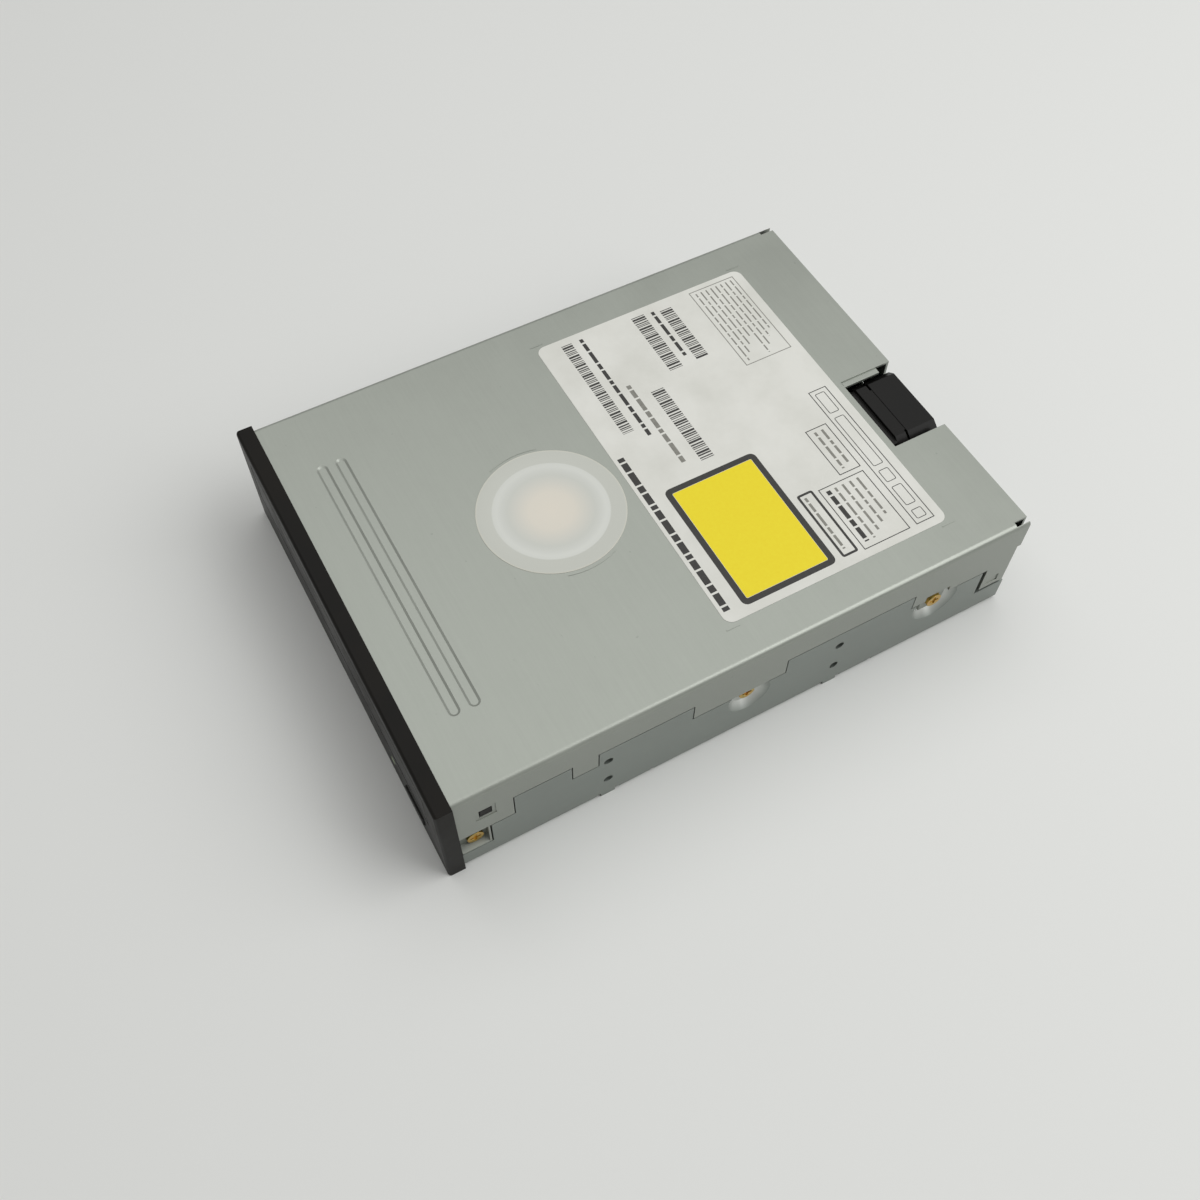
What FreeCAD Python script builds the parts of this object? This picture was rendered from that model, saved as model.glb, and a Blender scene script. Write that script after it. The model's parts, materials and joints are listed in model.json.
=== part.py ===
import FreeCAD, Part
import math
import os
import Sketcher

# Half-height disc rewriter drive, built as separate pieces in one frame.
# +Z is up, the front bezel faces -Y and the connectors face +Y.
# The origin is the centre of the footprint, on the surface that the drive lies on.
# Lengths are in millimetres, angles in degrees.

SIZES = {
    # Metal casing
    "body_width": 146.0,
    "body_height": 41.3,
    "body_depth": 192.6,
    "ground_gap": 0.35,
    "overcut": 1.0,
    "cover_gauge": 0.8,
    "case_gauge": 1.0,
    "seam_gap": 0.35,
    "cover_bend": 1.8,
    "case_bend": 1.2,
    "case_rear_inset": 0.6,
    "seam_height": 29.65,
    "step_end": 17.4,
    "step_height": 18.85,
    "hook_start": 36.0,
    "hook_end": 44.1,
    "hook_height": 22.3,
    "middle_tab_start": 75.6,
    "middle_tab_end": 107.15,
    "middle_tab_height": 22.3,
    "rear_tab_start": 39.4,
    "rear_tab_end": 12.2,
    "rear_tab_height": 22.9,
    "corner_tab_start": 10.6,
    "corner_tab_end": 1.3,
    "corner_tab_height": 11.7,
    "corner_tab_gap": 1.2,
    "corner_dent_low": 13.4,
    "corner_dent_height": 3.4,
    "corner_dent_length": 4.6,
    "corner_dent_inset": 4.2,
    "corner_dent_depth": 0.3,
    "screw_tab_end": 9.6,
    "screw_tab_low": 8.0,
    "screw_tab_wall": 7.65,
    "screw_tab_wall_end": 10.1,
    "screw_tab_rise": 0.7,
    "screw_tab_sill": 0.6,
    "ear_half": 4.2,
    "ear_drop": 4.2,
    "ear_knee": 3.8,
    "ear_rise": 2.0,
    "ear_bend": 0.3,
    "ear_lap": 0.6,
    "ear_gap": 0.2,
    "cover_flange_low": 24.0,
    "case_flange_high": 23.6,
    "corner_relief": 4.8,
    "corner_relief_width": 1.6,
    "corner_relief_drop": 2.0,
    # Pressings in the cover
    "rib_length": 98.0,
    "rib_width": 3.6,
    "rib_floor": 2.2,
    "rib_depth": 0.35,
    "rib_wall": 0.15,
    "rib_setback": 13.0,
    "rib_pitch": 6.2,
    "rib_count": 2,
    "mark_height": 0.12,
    "mark_width": 0.4,
    "mark_length": 4.6,
    "mark_gap": 1.2,
    "arc_mark_gap": 0.9,
    "arc_mark_angle": 40.0,
    "arc_mark_centre": 4.0,
    # Rear notch and its lip
    "notch_left": 0.5,
    "notch_width": 30.1,
    "notch_depth": 19.1,
    "lip_root": 1.2,
    "lip_reach": 2.1,
    "lip_drop": 0.5,
    "lip_inset": 0.4,
    "lip_length": 13.4,
    # Side dimples and screws
    "dimple_depth": 2.4,
    "dimple_radius": 7.3,
    "rear_dimple_radius": 8.3,
    "dimple_slope": 2.1,
    "dimple_skin": 0.9,
    "front_screw_setback": 5.3,
    "front_screw_height": 12.25,
    "middle_screw_setback": 95.0,
    "middle_screw_height": 18.6,
    "rear_screw_setback": 30.0,
    "rear_screw_height": 19.6,
    "casing_screw_radius": 1.3,
    "casing_screw_length": 4.5,
    "casing_head_radius": 2.6,
    "casing_head_height": 1.2,
    "recess_width": 0.9,
    "recess_reach": 1.6,
    "recess_depth": 0.6,
    # Mounting holes
    "mount_radius": 1.5,
    "mount_setback": 47.4,
    "mount_pitch": 79.25,
    "mount_low": 10.35,
    "mount_rise": 11.84,
    "mount_inset": 3.15,
    "collar_radius": 2.4,
    "collar_length": 1.1,
    "foot_length": 4.7,
    "foot_width": 6.5,
    "edge_notch_width": 1.5,
    "edge_notch_height": 1.5,
    "edge_notch_first": 14.5,
    # Underside grooves
    "groove_depth": 0.4,
    "groove_width": 4.0,
    "groove_length": 62.0,
    "groove_setback": 24.0,
    "groove_inner_x": 8.5,
    "groove_outer_x": 25.5,
    # Front bezel
    "bezel_overhang": 1.0,
    "bezel_height": 42.0,
    "bezel_depth": 5.4,
    "bezel_wall": 2.2,
    "bezel_round": 1.1,
    "tongue_thickness": 1.8,
    "tongue_length": 12.4,
    "tongue_height": 6.0,
    "tongue_gap": 0.3,
    "latch_setback": 7.4,
    "latch_length": 3.4,
    "latch_low": 27.2,
    "latch_height": 3.2,
    "latch_clearance": 0.3,
    "latch_rim": 1.1,
    "latch_rim_depth": 0.25,
    "floor_tongue_width": 9.0,
    "floor_tongue_inset": 31.0,
    "floor_tongue_lift": 0.2,
    "floor_tongue_length": 9.0,
    # Tray door
    "door_height": 15.6,
    "door_low": 19.6,
    "door_gap": 0.4,
    "door_thickness": 3.6,
    "door_round": 0.6,
    "door_tab_width": 8.0,
    "door_tab_spread": 86.0,
    "door_tab_length": 4.0,
    "door_tab_height": 2.0,
    # Eject button, light and switch board
    "button_inset": 19.0,
    "button_z": 11.2,
    "button_width": 12.0,
    "button_height": 5.2,
    "button_proud": 0.6,
    "button_gap": 0.25,
    "button_flange": 0.9,
    "button_flange_thickness": 0.6,
    "plunger_radius": 1.2,
    "plunger_gap": 0.08,
    "plunger_entry": 0.3,
    "switch_width": 7.0,
    "switch_height": 6.2,
    "switch_depth": 1.25,
    "switch_back": 0.15,
    "light_inset": 35.0,
    "light_radius": 1.4,
    "light_flange": 0.6,
    "light_flange_thickness": 0.8,
    "led_width": 2.6,
    "led_height": 2.0,
    "pinhole_inset": 51.0,
    "pinhole_radius": 0.8,
    "front_board_thickness": 1.2,
    "front_board_inset": 9.0,
    "front_board_width": 38.0,
    "front_board_low": 7.0,
    "front_board_height": 9.6,
    # Main chassis
    "chassis_wall": 4.5,
    "chassis_low": 6.0,
    "chassis_high": 33.0,
    "chassis_front": 1.2,
    "chassis_tail": 5.1,
    "chassis_floor": 8.0,
    "chassis_floor_thickness": 2.0,
    "front_wall_thickness": 1.5,
    "front_wall_height": 18.0,
    "rear_wall_height": 22.0,
    "well_half_width": 46.5,
    "well_start": 29.4,
    "well_tail": 4.0,
    "rail_width": 3.8,
    "rail_thickness": 1.9,
    "rail_lip_width": 1.6,
    "rail_lip_thickness": 1.4,
    "rail_start": 3.0,
    "slide_gap": 0.3,
    "side_gap": 0.5,
    "tower_width": 8.8,
    # Tray
    "deck_height": 24.8,
    "deck_thickness": 2.0,
    "runner_width": 1.6,
    "runner_thickness": 1.8,
    "rim_height": 4.2,
    "rim_margin": 2.9,
    "disc_recess_radius": 60.8,
    "small_recess_radius": 40.5,
    "small_recess_depth": 0.8,
    "finger_radius": 11.0,
    "finger_x": 44.0,
    "slot_half_width": 20.0,
    "tray_notch_gap": 15.5,
    "arm_rim_width": 3.0,
    "arm_rim_height": 2.0,
    # Gear train of the loader
    "pressure_angle": 20.0,
    "addendum_share": 0.8,
    "dedendum_share": 1.05,
    "tooth_thinning": 0.22,
    "rack_module": 1.0,
    "rack_tail": 1.0,
    "rack_bar": 3.0,
    "rack_edge_gap": 2.7,
    "rack_height": 4.0,
    "rack_lead_teeth": 2,
    "pinion_teeth": 14,
    "pinion_face": 3.3,
    "pinion_gap": 0.6,
    "train_module": 0.8,
    "wheel_teeth": 30,
    "wheel_face": 3.0,
    "belt_pinion_teeth": 12,
    "gear_lift": 0.5,
    "gear_setback": 16.0,
    "gear_hub_radius": 3.5,
    "gear_post_radius": 1.95,
    "gear_bore_gap": 0.05,
    "post_cap": 0.4,
    "pulley_radius": 10.0,
    "pulley_lift": 1.0,
    "pulley_face": 3.6,
    "pulley_groove": 0.9,
    "motor_pulley_radius": 3.1,
    "belt_size": 1.4,
    "belt_gap": 0.05,
    # Loading motor
    "motor_x": 5.0,
    "motor_radius": 9.0,
    "motor_bottom": 2.2,
    "motor_seat_height": 13.0,
    "motor_seat_plate": 1.4,
    "motor_seat_wall": 2.0,
    "motor_gap": 0.4,
    "motor_boss_radius": 2.6,
    "motor_shaft_radius": 1.0,
    "motor_screw_spread": 12.0,
    # Cam slider and lifting pins
    "cam_travel": 16.0,
    "cam_thickness": 2.4,
    "cam_setback": 30.2,
    "cam_half_width": 34.0,
    "cam_low": 2.6,
    "cam_height": 14.8,
    "cam_wall_gap": 1.1,
    "cam_arm_low": 10.6,
    "cam_arm_height": 4.0,
    "cam_clearance": 0.2,
    "cam_guide_width": 4.0,
    "cam_guide_wall": 1.0,
    "pin_radius": 1.5,
    "pin_spread": 36.0,
    "pin_clearance": 0.2,
    "pin_reach": 4.2,
    # Disc plane, clamper and bridge
    "spindle_setback": 67.8,
    "disc_lift": 2.6,
    "clamper_gap": 0.8,
    "bridge_height": 36.6,
    "bridge_gauge": 1.0,
    "bridge_side_gap": 0.6,
    "bridge_length": 28.0,
    "bridge_disc_radius": 24.0,
    "bridge_flange": 1.8,
    "bridge_hole_radius": 12.8,
    "bridge_screw_inset": 1.8,
    "bridge_edge_setback": 6.0,
    "bridge_screw_pitch": 20.0,
    "clamper_radius": 14.0,
    "clamper_neck_radius": 12.2,
    "clamper_shoulder": 0.4,
    "clamper_rest_gap": 0.1,
    "clamper_cap_radius": 15.2,
    "clamper_cap_height": 1.4,
    "clamper_recess_radius": 8.2,
    "clamper_recess_depth": 4.2,
    "clamper_ring_radius": 10.8,
    "clamper_ring_hole": 4.0,
    "clamper_ring_thickness": 1.5,
    "clamper_web": 0.7,
    # Small screws inside
    "screw_radius": 1.2,
    "screw_length": 3.4,
    "screw_head_radius": 2.3,
    "screw_head_height": 1.2,
    # Traverse: pivot, holder and frame
    "lift_fall": 8.7,
    "pivot_tail": 9.7,
    "pivot_height": 14.0,
    "pivot_radius": 2.0,
    "pivot_gap": 0.05,
    "pivot_length": 4.6,
    "pivot_block_width": 4.5,
    "pivot_block_length": 9.0,
    "pivot_block_height": 9.2,
    "holder_half_width": 44.5,
    "holder_bar": 6.0,
    "holder_low": 12.2,
    "holder_thickness": 3.2,
    "holder_front": 34.0,
    "holder_front_bar": 7.0,
    "holder_rear_bar": 8.0,
    "holder_tail": 4.0,
    "lift_pin_height": 13.8,
    "frame_half_width": 37.5,
    "frame_front": 38.0,
    "frame_deck_length": 43.0,
    "frame_deck_low": 15.8,
    "frame_deck_thickness": 2.4,
    "frame_bar": 6.0,
    "frame_thin_bar": 1.5,
    "frame_bar_height": 4.2,
    "frame_tail": 11.5,
    "frame_rear_bar": 5.0,
    "ear_length": 8.0,
    "ear_width": 6.0,
    "ear_low": 16.6,
    "ear_thickness": 1.2,
    "ear_front": 46.0,
    "ear_tail": 14.0,
    "damper_x": 41.2,
    "damper_radius": 3.2,
    "damper_waist": 2.5,
    "damper_height": 4.0,
    "damper_screw_radius": 1.1,
    "damper_head_radius": 2.4,
    "damper_head_height": 1.2,
    "damper_screw_depth": 2.6,
    # Disc motor and turntable
    "stator_plate_radius": 13.0,
    "stator_plate_thickness": 1.2,
    "bearing_radius": 3.2,
    "bearing_height": 4.6,
    "stator_radius": 10.6,
    "stator_low": 1.0,
    "stator_height": 3.2,
    "rotor_radius": 12.8,
    "rotor_gap": 0.5,
    "rotor_height": 5.7,
    "rotor_wall": 1.0,
    "shaft_radius": 1.5,
    "shaft_gap": 0.05,
    "turntable_radius": 15.2,
    "turntable_thickness": 2.4,
    "pad_thickness": 0.8,
    "pad_inner_radius": 10.5,
    "hub_radius": 7.3,
    "hub_tip_radius": 5.9,
    "hub_height": 2.8,
    "hub_cone_height": 1.3,
    # Pickup sled
    "rod_radius": 1.5,
    "rod_gap": 0.05,
    "rod_x": 27.0,
    "rod_height": 17.0,
    "rod_seat": 3.0,
    "lens_start": 23.0,
    "sled_nose": 8.5,
    "sled_length": 28.5,
    "sled_half_width": 22.0,
    "sled_arm_reach": 30.4,
    "sled_low": 13.4,
    "sled_height": 9.6,
    "sled_arm_low": 14.4,
    "sled_arm_height": 5.2,
    "yoke_half_width": 13.0,
    "yoke_length": 17.5,
    "yoke_nose": 6.3,
    "yoke_thickness": 1.0,
    "yoke_post": 1.6,
    "yoke_post_height": 3.4,
    "lens_radius": 2.2,
    "lens_flange": 0.5,
    "lens_thickness": 1.1,
    "lens_edge_height": 0.66,
    "lens_brow_radius": 1.76,
    "lens_brow_height": 0.935,
    "lens_crown_radius": 0.99,
    "holder_lens_width": 12.0,
    "holder_lens_length": 7.6,
    "holder_lens_height": 2.8,
    "focus_travel": 0.6,
    "cap_gauge": 0.3,
    "cap_half_width": 14.5,
    "cap_length": 19.6,
    "cap_height": 4.9,
    "cap_window_half_width": 9.0,
    "cap_window_length": 11.0,
    # Feed screw and its motor
    "screw_x": 33.5,
    "lead_screw_radius": 1.5,
    "lead_screw_start": 77.2,
    "lead_screw_tail": 3.5,
    "journal_radius": 1.0,
    "journal_length": 1.8,
    "journal_gap": 0.05,
    "feed_motor_radius": 4.7,
    "feed_motor_start": 60.0,
    "feed_motor_length": 15.5,
    "feed_bracket_thickness": 1.0,
    "feed_bracket_width": 9.6,
    "feed_shaft_radius": 0.7,
    "feed_block_width": 5.0,
    "feed_block_height": 4.6,
    "nut_gap": 0.1,
    "nut_width": 5.0,
    "nut_length": 9.0,
    "nut_height": 3.2,
    "nut_start": 9.0,
    # Main board
    "board_gap": 1.05,
    "board_thickness": 1.6,
    "board_side_gap": 8.5,
    "board_front": 98.0,
    "board_rear_inset": 2.2,
    "pillar_radius": 3.2,
    "board_screw_inset": 5.0,
    "board_screw_front": 6.0,
    "board_screw_rear": 19.0,
    "chip_x": 32.4,
    "chip_size": 22.0,
    "chip_height": 1.8,
    "small_chip_length": 18.0,
    "small_chip_width": 9.0,
    "capacitor_radius": 3.1,
    "capacitor_step": 9.3,
    "capacitor_height": 7.0,
    "capacitor_setback": 21.0,
    "flex_socket_setback": 42.0,
    "flex_socket_width": 24.0,
    "flex_socket_length": 4.0,
    "flex_socket_height": 1.8,
    # Rear connectors
    "socket_rear_inset": 1.0,
    "cutout_gap": 0.7,
    "ide_gap_share": 0.23,
    "ide_width": 58.4,
    "ide_height": 8.9,
    "ide_depth": 9.7,
    "ide_wall": 1.3,
    "ide_back": 2.6,
    "ide_key_width": 4.4,
    "pin_pitch": 2.54,
    "pin_side": 0.64,
    "pin_tail": 1.6,
    "pin_tip_inset": 1.6,
    "ide_columns": 20,
    "power_width": 21.8,
    "power_height": 10.6,
    "power_depth": 11.0,
    "power_wall": 1.2,
    "power_back": 2.4,
    "power_columns": 4,
    "power_pitch": 5.08,
    "power_pin_radius": 1.05,
    "power_corner": 2.2,
    "jumper_gap_share": 0.16,
    "jumper_columns": 3,
    "jumper_depth": 2.5,
    "jumper_pin_reach": 5.4,
    "cap_block_height": 5.4,
    "cap_block_depth": 4.6,
    "cap_block_wall": 0.08,
    "audio_gap_share": 0.22,
    "audio_width": 11.2,
    "digital_gap_share": 0.16,
    "digital_width": 6.0,
    "audio_columns": 4,
    "digital_columns": 2,
    "audio_height": 6.2,
    "audio_depth": 8.0,
    "audio_wall": 0.9,
    # Fan in the rear notch
    "fan_drop": 2.4,
    "fan_side": 20.5,
    "fan_depth": 10.4,
    "fan_bore": 9.3,
    "fan_round": 0.5,
    "shoulder_near": 2.4,
    "shoulder_far": 3.7,
    "shoulder_run": 2.4,
    "shoulder_fall": 1.8,
    "shoulder_height": 4.0,
    "shoulder_root": 1.0,
    "fan_guard": 0.9,
    "fan_guard_bar": 0.9,
    "fan_guard_hub": 2.76,
    "fan_spider": 1.2,
    "fan_hub_radius": 4.6,
    "fan_blade_gap": 0.5,
    "fan_blades": 7,
    "fan_blade_thickness": 0.7,
    "fan_blade_angle": 38.0,
    "fan_blade_root": 3.2,
    "fan_blade_trim": 0.5,
    "fan_axle_radius": 0.8,
    "fan_axle_gap": 0.06,
    "duct_slit": 0.6,
    "duct_depth": 4.1,
    "duct_drop": 0.15,
    "duct_plate": 3.6,
    "duct_plate_drop": 1.2,
    "duct_plate_margin": 2.0,
    # Flat cables
    "flex_thickness": 0.3,
    "flex_sag": 0.9,
    "pickup_flex_width": 22.0,
    "front_flex_width": 9.0,
    "front_flex_inset": 21.0,
    # Label and seal on the cover
    "label_inset": 13.0,
    "label_start": 93.2,
    "label_notch_gap": 2.2,
    "label_round": 3.0,
    "label_thickness": 0.1,
    "seal_radius": 23.0,
    "seal_thickness": 0.12,
    "seal_hole_radius": 14.0,
}

doc = FreeCAD.newDocument("DiscDrive")
sheet = doc.addObject("Spreadsheet::Sheet", "Dims")
for line, (alias, number) in enumerate(SIZES.items(), start=1):
    sheet.set(f"A{line}", alias)
    sheet.set(f"B{line}", str(number))
    sheet.setAlias(f"B{line}", alias)
doc.recompute()


class Size:
    """A length that carries the sheet expression it comes from and its present value."""

    def __init__(self, text, value):
        self.text = text
        self.value = value

    @staticmethod
    def of(other):
        return other if isinstance(other, Size) else Size(f"({float(other)})", float(other))

    def __add__(self, other):
        other = Size.of(other)
        return Size(f"({self.text} + {other.text})", self.value + other.value)

    def __sub__(self, other):
        other = Size.of(other)
        return Size(f"({self.text} - {other.text})", self.value - other.value)

    def __mul__(self, other):
        other = Size.of(other)
        return Size(f"({self.text} * {other.text})", self.value * other.value)

    def __truediv__(self, other):
        other = Size.of(other)
        return Size(f"({self.text} / {other.text})", self.value / other.value)

    def __neg__(self):
        return Size(f"(-{self.text})", -self.value)

    def __radd__(self, other):
        return Size.of(other) + self

    def __rsub__(self, other):
        return Size.of(other) - self

    def __rmul__(self, other):
        return Size.of(other) * self


class Cells:
    """Gives each alias of the sheet as a Size."""

    def __getattr__(self, alias):
        return Size(f"Dims.{alias}", float(sheet.get(alias)))


S = Cells()
PARTS = []
ZERO = Size.of(0.0)
SIDES = (-1, 1)
NEAR = 0.01


def cosine(angle):
    return Size(f"cos({angle.text})", math.cos(math.radians(angle.value)))


def arcsine(ratio):
    return Size(f"asin({ratio.text})", math.degrees(math.asin(ratio.value)))


# Levels and planes that many pieces share
front = (S.bezel_depth + S.button_proud - S.body_depth) / 2
rear = front + S.body_depth
half = S.body_width / 2
bezel_half = half + S.bezel_overhang
under = S.ground_gap
over = S.overcut
roof = under + S.body_height
inside_floor = under + S.case_gauge
case_rear = rear - S.case_rear_inset
bezel_face = front - S.bezel_depth
bezel_back_wall = bezel_face + S.bezel_wall
spindle_y = front + S.spindle_setback
chassis_half = half - S.case_gauge - S.dimple_depth
chassis_in = chassis_half - S.chassis_wall
bridge_half = chassis_half - S.bridge_side_gap
chassis_front = front + S.chassis_front
chassis_rear = rear - S.rear_screw_setback + S.chassis_tail
chassis_floor_top = S.chassis_floor + S.chassis_floor_thickness
well_rear = chassis_rear - S.well_tail
runner_half = chassis_in - S.side_gap
deck_half = runner_half - S.runner_width
deck_top = S.deck_height + S.deck_thickness
rim_top = deck_top + S.rim_height
tray_face = bezel_face + S.door_thickness
pad_top = deck_top + S.disc_lift
board_low = inside_floor + S.board_gap
board_top = board_low + S.board_thickness
board_rear = rear - S.board_rear_inset
board_half = half - S.board_side_gap
jumper_width = S.pin_pitch * S.jumper_columns
spare_width = (board_half * 2 - S.power_width - S.ide_width - jumper_width - S.audio_width
               - S.digital_width)
power_x = S.power_width / 2 - board_half
ide_x = power_x + (S.power_width + S.ide_width) / 2 + spare_width * S.ide_gap_share
jumper_x = ide_x + (S.ide_width + jumper_width) / 2 + spare_width * S.jumper_gap_share
audio_x = jumper_x + (jumper_width + S.audio_width) / 2 + spare_width * S.audio_gap_share
digital_x = audio_x + (S.audio_width + S.digital_width) / 2 + spare_width * S.digital_gap_share
pivot_y = chassis_rear - S.pivot_tail
frame_rear = pivot_y - S.frame_tail
screw_end = frame_rear - S.lead_screw_tail
notch_x0 = -S.notch_left
notch_x1 = notch_x0 + S.notch_width
notch_y = rear - S.notch_depth
tray_rear = notch_y - S.tray_notch_gap
fan_x = (notch_x0 + notch_x1) / 2
label_half = half - S.label_inset
label_start = front + S.label_start
label_end = notch_y - S.label_notch_gap
button_x = half - S.button_inset
lens_y = spindle_y + S.lens_start
socket_rear = rear - S.socket_rear_inset


def bind(item, path, size):
    """Tie one property of an object to the sheet."""
    item.setExpression(path, Size.of(size).text)


def move(item, x, y, z, axis=None, angle=None):
    """Place an object, turned about an axis when one is given."""
    if axis is not None:
        turn = FreeCAD.Rotation(FreeCAD.Vector(*axis), Size.of(angle).value)
        item.Placement = FreeCAD.Placement(FreeCAD.Vector(), turn)
        if isinstance(angle, Size):
            bind(item, "Placement.Rotation.Angle", angle)
    bind(item, "Placement.Base.x", x)
    bind(item, "Placement.Base.y", y)
    bind(item, "Placement.Base.z", z)
    return item


def block(name, x, y, z):
    """A box between pairs of coordinates."""
    item = doc.addObject("Part::Box", name)
    for path, span in (("Length", x), ("Width", y), ("Height", z)):
        bind(item, path, Size.of(span[1]) - span[0])
    return move(item, x[0], y[0], z[0])


TURNS = {"Z": None, "Y": ((1, 0, 0), -90), "X": ((0, 1, 0), 90)}


def rod(name, radius, start, length, axis="Z"):
    """A cylinder that runs from start along one axis."""
    item = doc.addObject("Part::Cylinder", name)
    bind(item, "Radius", radius)
    bind(item, "Height", length)
    turn = TURNS[axis]
    if turn is None:
        return move(item, *start)
    return move(item, *start, axis=turn[0], angle=turn[1])


def taper(name, first, last, start, length, axis="Z"):
    """A cone that runs from start along one axis."""
    item = doc.addObject("Part::Cone", name)
    bind(item, "Radius1", first)
    bind(item, "Radius2", last)
    bind(item, "Height", length)
    turn = TURNS[axis]
    if turn is None:
        return move(item, *start)
    return move(item, *start, axis=turn[0], angle=turn[1])


def fuse(name, *pieces):
    item = doc.addObject("Part::MultiFuse", name)
    item.Shapes = list(pieces)
    item.Refine = True
    return item


def common(name, first, second):
    item = doc.addObject("Part::Common", name)
    item.Base = first
    item.Tool = second
    return item


def cut(name, base, *tools):
    item = doc.addObject("Part::Cut", name)
    item.Base = base
    item.Tool = tools[0] if len(tools) == 1 else fuse(name + "_tools", *tools)
    item.Refine = True
    return item


def group(name, pieces):
    """Separate solids kept together as one sub-part."""
    item = doc.addObject("Part::Compound", name)
    item.Links = list(pieces)
    return item


def shaped(name, shape):
    """A shape made by Part's own functions from sheet values."""
    item = doc.addObject("Part::Feature", name)
    item.Shape = shape
    return item


def publish(item, label):
    item.Label = label
    PARTS.append(item)
    return item


def side_span(side, inner, outer):
    """An X span on the right (+1) or left (-1) side."""
    return (inner, outer) if side > 0 else (-Size.of(outer), -Size.of(inner))


def origin_plane(body, role):
    return next(item for item in body.Origin.OriginFeatures if item.Role == role)


def body_sketch(body, role, offset=ZERO):
    """An empty sketch on one of the body's origin planes."""
    item = body.newObject("Sketcher::SketchObject", body.Name + "_sketch")
    item.AttachmentSupport = [(origin_plane(body, role), "")]
    item.MapMode = "FlatFace"
    bind(item, "AttachmentOffset.Base.z", offset)
    return item


def pin_point(item, geometry, end, along, across):
    """Hold one end of a line at its distances from the sketch origin."""
    for kind, number, size in (("DistanceX", 0, along), ("DistanceY", 1, across)):
        size = Size.of(size)
        if size.value == 0.0:
            on_axis = -2 if number == 0 else -1
            item.addConstraint(Sketcher.Constraint("PointOnObject", geometry, end, on_axis))
            continue
        index = item.addConstraint(
            Sketcher.Constraint(kind, -1, 1, geometry, end, size.value))
        item.setExpression(f"Constraints[{index}]", size.text)


def outline(item, points):
    """A closed chain of lines through the points, each point held by the sheet."""
    flat = [FreeCAD.Vector(Size.of(a).value, Size.of(b).value, 0) for a, b in points]
    lines = []
    for index, point in enumerate(flat):
        after = flat[(index + 1) % len(flat)]
        lines.append(item.addGeometry(Part.LineSegment(point, after), False))
    for index, line in enumerate(lines):
        after = lines[(index + 1) % len(lines)]
        item.addConstraint(Sketcher.Constraint("Coincident", line, 2, after, 1))
    for line, (along, across) in zip(lines, points):
        pin_point(item, line, 1, along, across)
    return item


def ring(item, x, y, radius):
    """A circle held by the sheet."""
    centre = FreeCAD.Vector(Size.of(x).value, Size.of(y).value, 0)
    circle = item.addGeometry(Part.Circle(centre, FreeCAD.Vector(0, 0, 1), radius.value), False)
    pin_point(item, circle, 3, x, y)
    index = item.addConstraint(Sketcher.Constraint("Radius", circle, radius.value))
    item.setExpression(f"Constraints[{index}]", radius.text)
    return item


def turned(name, profile):
    """A body turned about its own Z axis from a profile of radius and height."""
    body = doc.addObject("PartDesign::Body", name)
    item = outline(body_sketch(body, "XZ_Plane"), profile)
    turn = body.newObject("PartDesign::Revolution", name + "_turn")
    turn.Profile = item
    turn.ReferenceAxis = (item, ["V_Axis"])
    turn.Angle = 360.0
    return body


def padded(name, role, offset, thickness, points=None, circles=()):
    """A body padded from a polygon, circles or both, along the plane's normal."""
    body = doc.addObject("PartDesign::Body", name)
    item = body_sketch(body, role, offset)
    if points:
        outline(item, points)
    for x, y, radius in circles:
        ring(item, x, y, radius)
    pad = body.newObject("PartDesign::Pad", name + "_pad")
    pad.Profile = item
    bind(pad, "Length", thickness)
    return body


def corners(x, y):
    """The four corners of a rectangle."""
    return [(x[0], y[0]), (x[1], y[0]), (x[1], y[1]), (x[0], y[1])]


def round_edges(body, radius, wanted):
    """Fillet the edges of a body's last feature that a test picks."""
    doc.recompute()
    base = body.Tip
    names = [f"Edge{i}" for i, edge in enumerate(base.Shape.Edges, start=1) if wanted(edge)]
    item = body.newObject("PartDesign::Fillet", body.Name + "_round")
    item.Base = (base, names)
    bind(item, "Radius", radius)
    body.Tip = item
    return body


def lies_at(edge, axis, value):
    """Whether a whole edge lies in the plane where one coordinate has a value."""
    low = getattr(edge.BoundBox, axis + "Min")
    high = getattr(edge.BoundBox, axis + "Max")
    return abs(low - value) < NEAR and abs(high - value) < NEAR


def runs_along(edge, axis):
    """Whether a straight edge runs along one axis only."""
    spans = {key: getattr(edge.BoundBox, key + "Length") for key in "XYZ"}
    return spans[axis] > NEAR and all(spans[key] < NEAR for key in "XYZ" if key != axis)


# The traverse lies lowered at rest: its pieces are drawn level and turned about the pivot
lift_reach = pivot_y - (front + S.cam_setback + S.cam_thickness / 2)
tilt_sine = S.lift_fall / lift_reach
tilt = arcsine(tilt_sine)
tilt_cosine = cosine(tilt)


def lowered(item, x=ZERO, y=ZERO, z=ZERO):
    """Seat a piece of the traverse, drawn level, in its lowered rest place."""
    y = Size.of(y) - pivot_y
    z = Size.of(z) - S.pivot_height
    down_y = pivot_y + y * tilt_cosine - z * tilt_sine
    down_z = S.pivot_height + y * tilt_sine + z * tilt_cosine
    return move(item, x, down_y, down_z, axis=(1, 0, 0), angle=tilt)


# Bottom case

def tab_spans():
    """Tabs of the cover's sides: start, end and lower edge, from front to rear."""
    return (
        (front, front + S.step_end, S.step_height),
        (front + S.hook_start, front + S.hook_end, S.hook_height),
        (front + S.middle_tab_start, front + S.middle_tab_end, S.middle_tab_height),
        (rear - S.rear_tab_start, rear - S.rear_tab_end, S.rear_tab_height),
        (rear - S.corner_tab_start, rear - S.corner_tab_end, S.corner_tab_height),
    )


def side_screws():
    """Places of the screws in the dimples of the case's side walls."""
    return (
        (front + S.middle_screw_setback, S.middle_screw_height),
        (rear - S.rear_screw_setback, S.rear_screw_height),
    )


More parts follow.
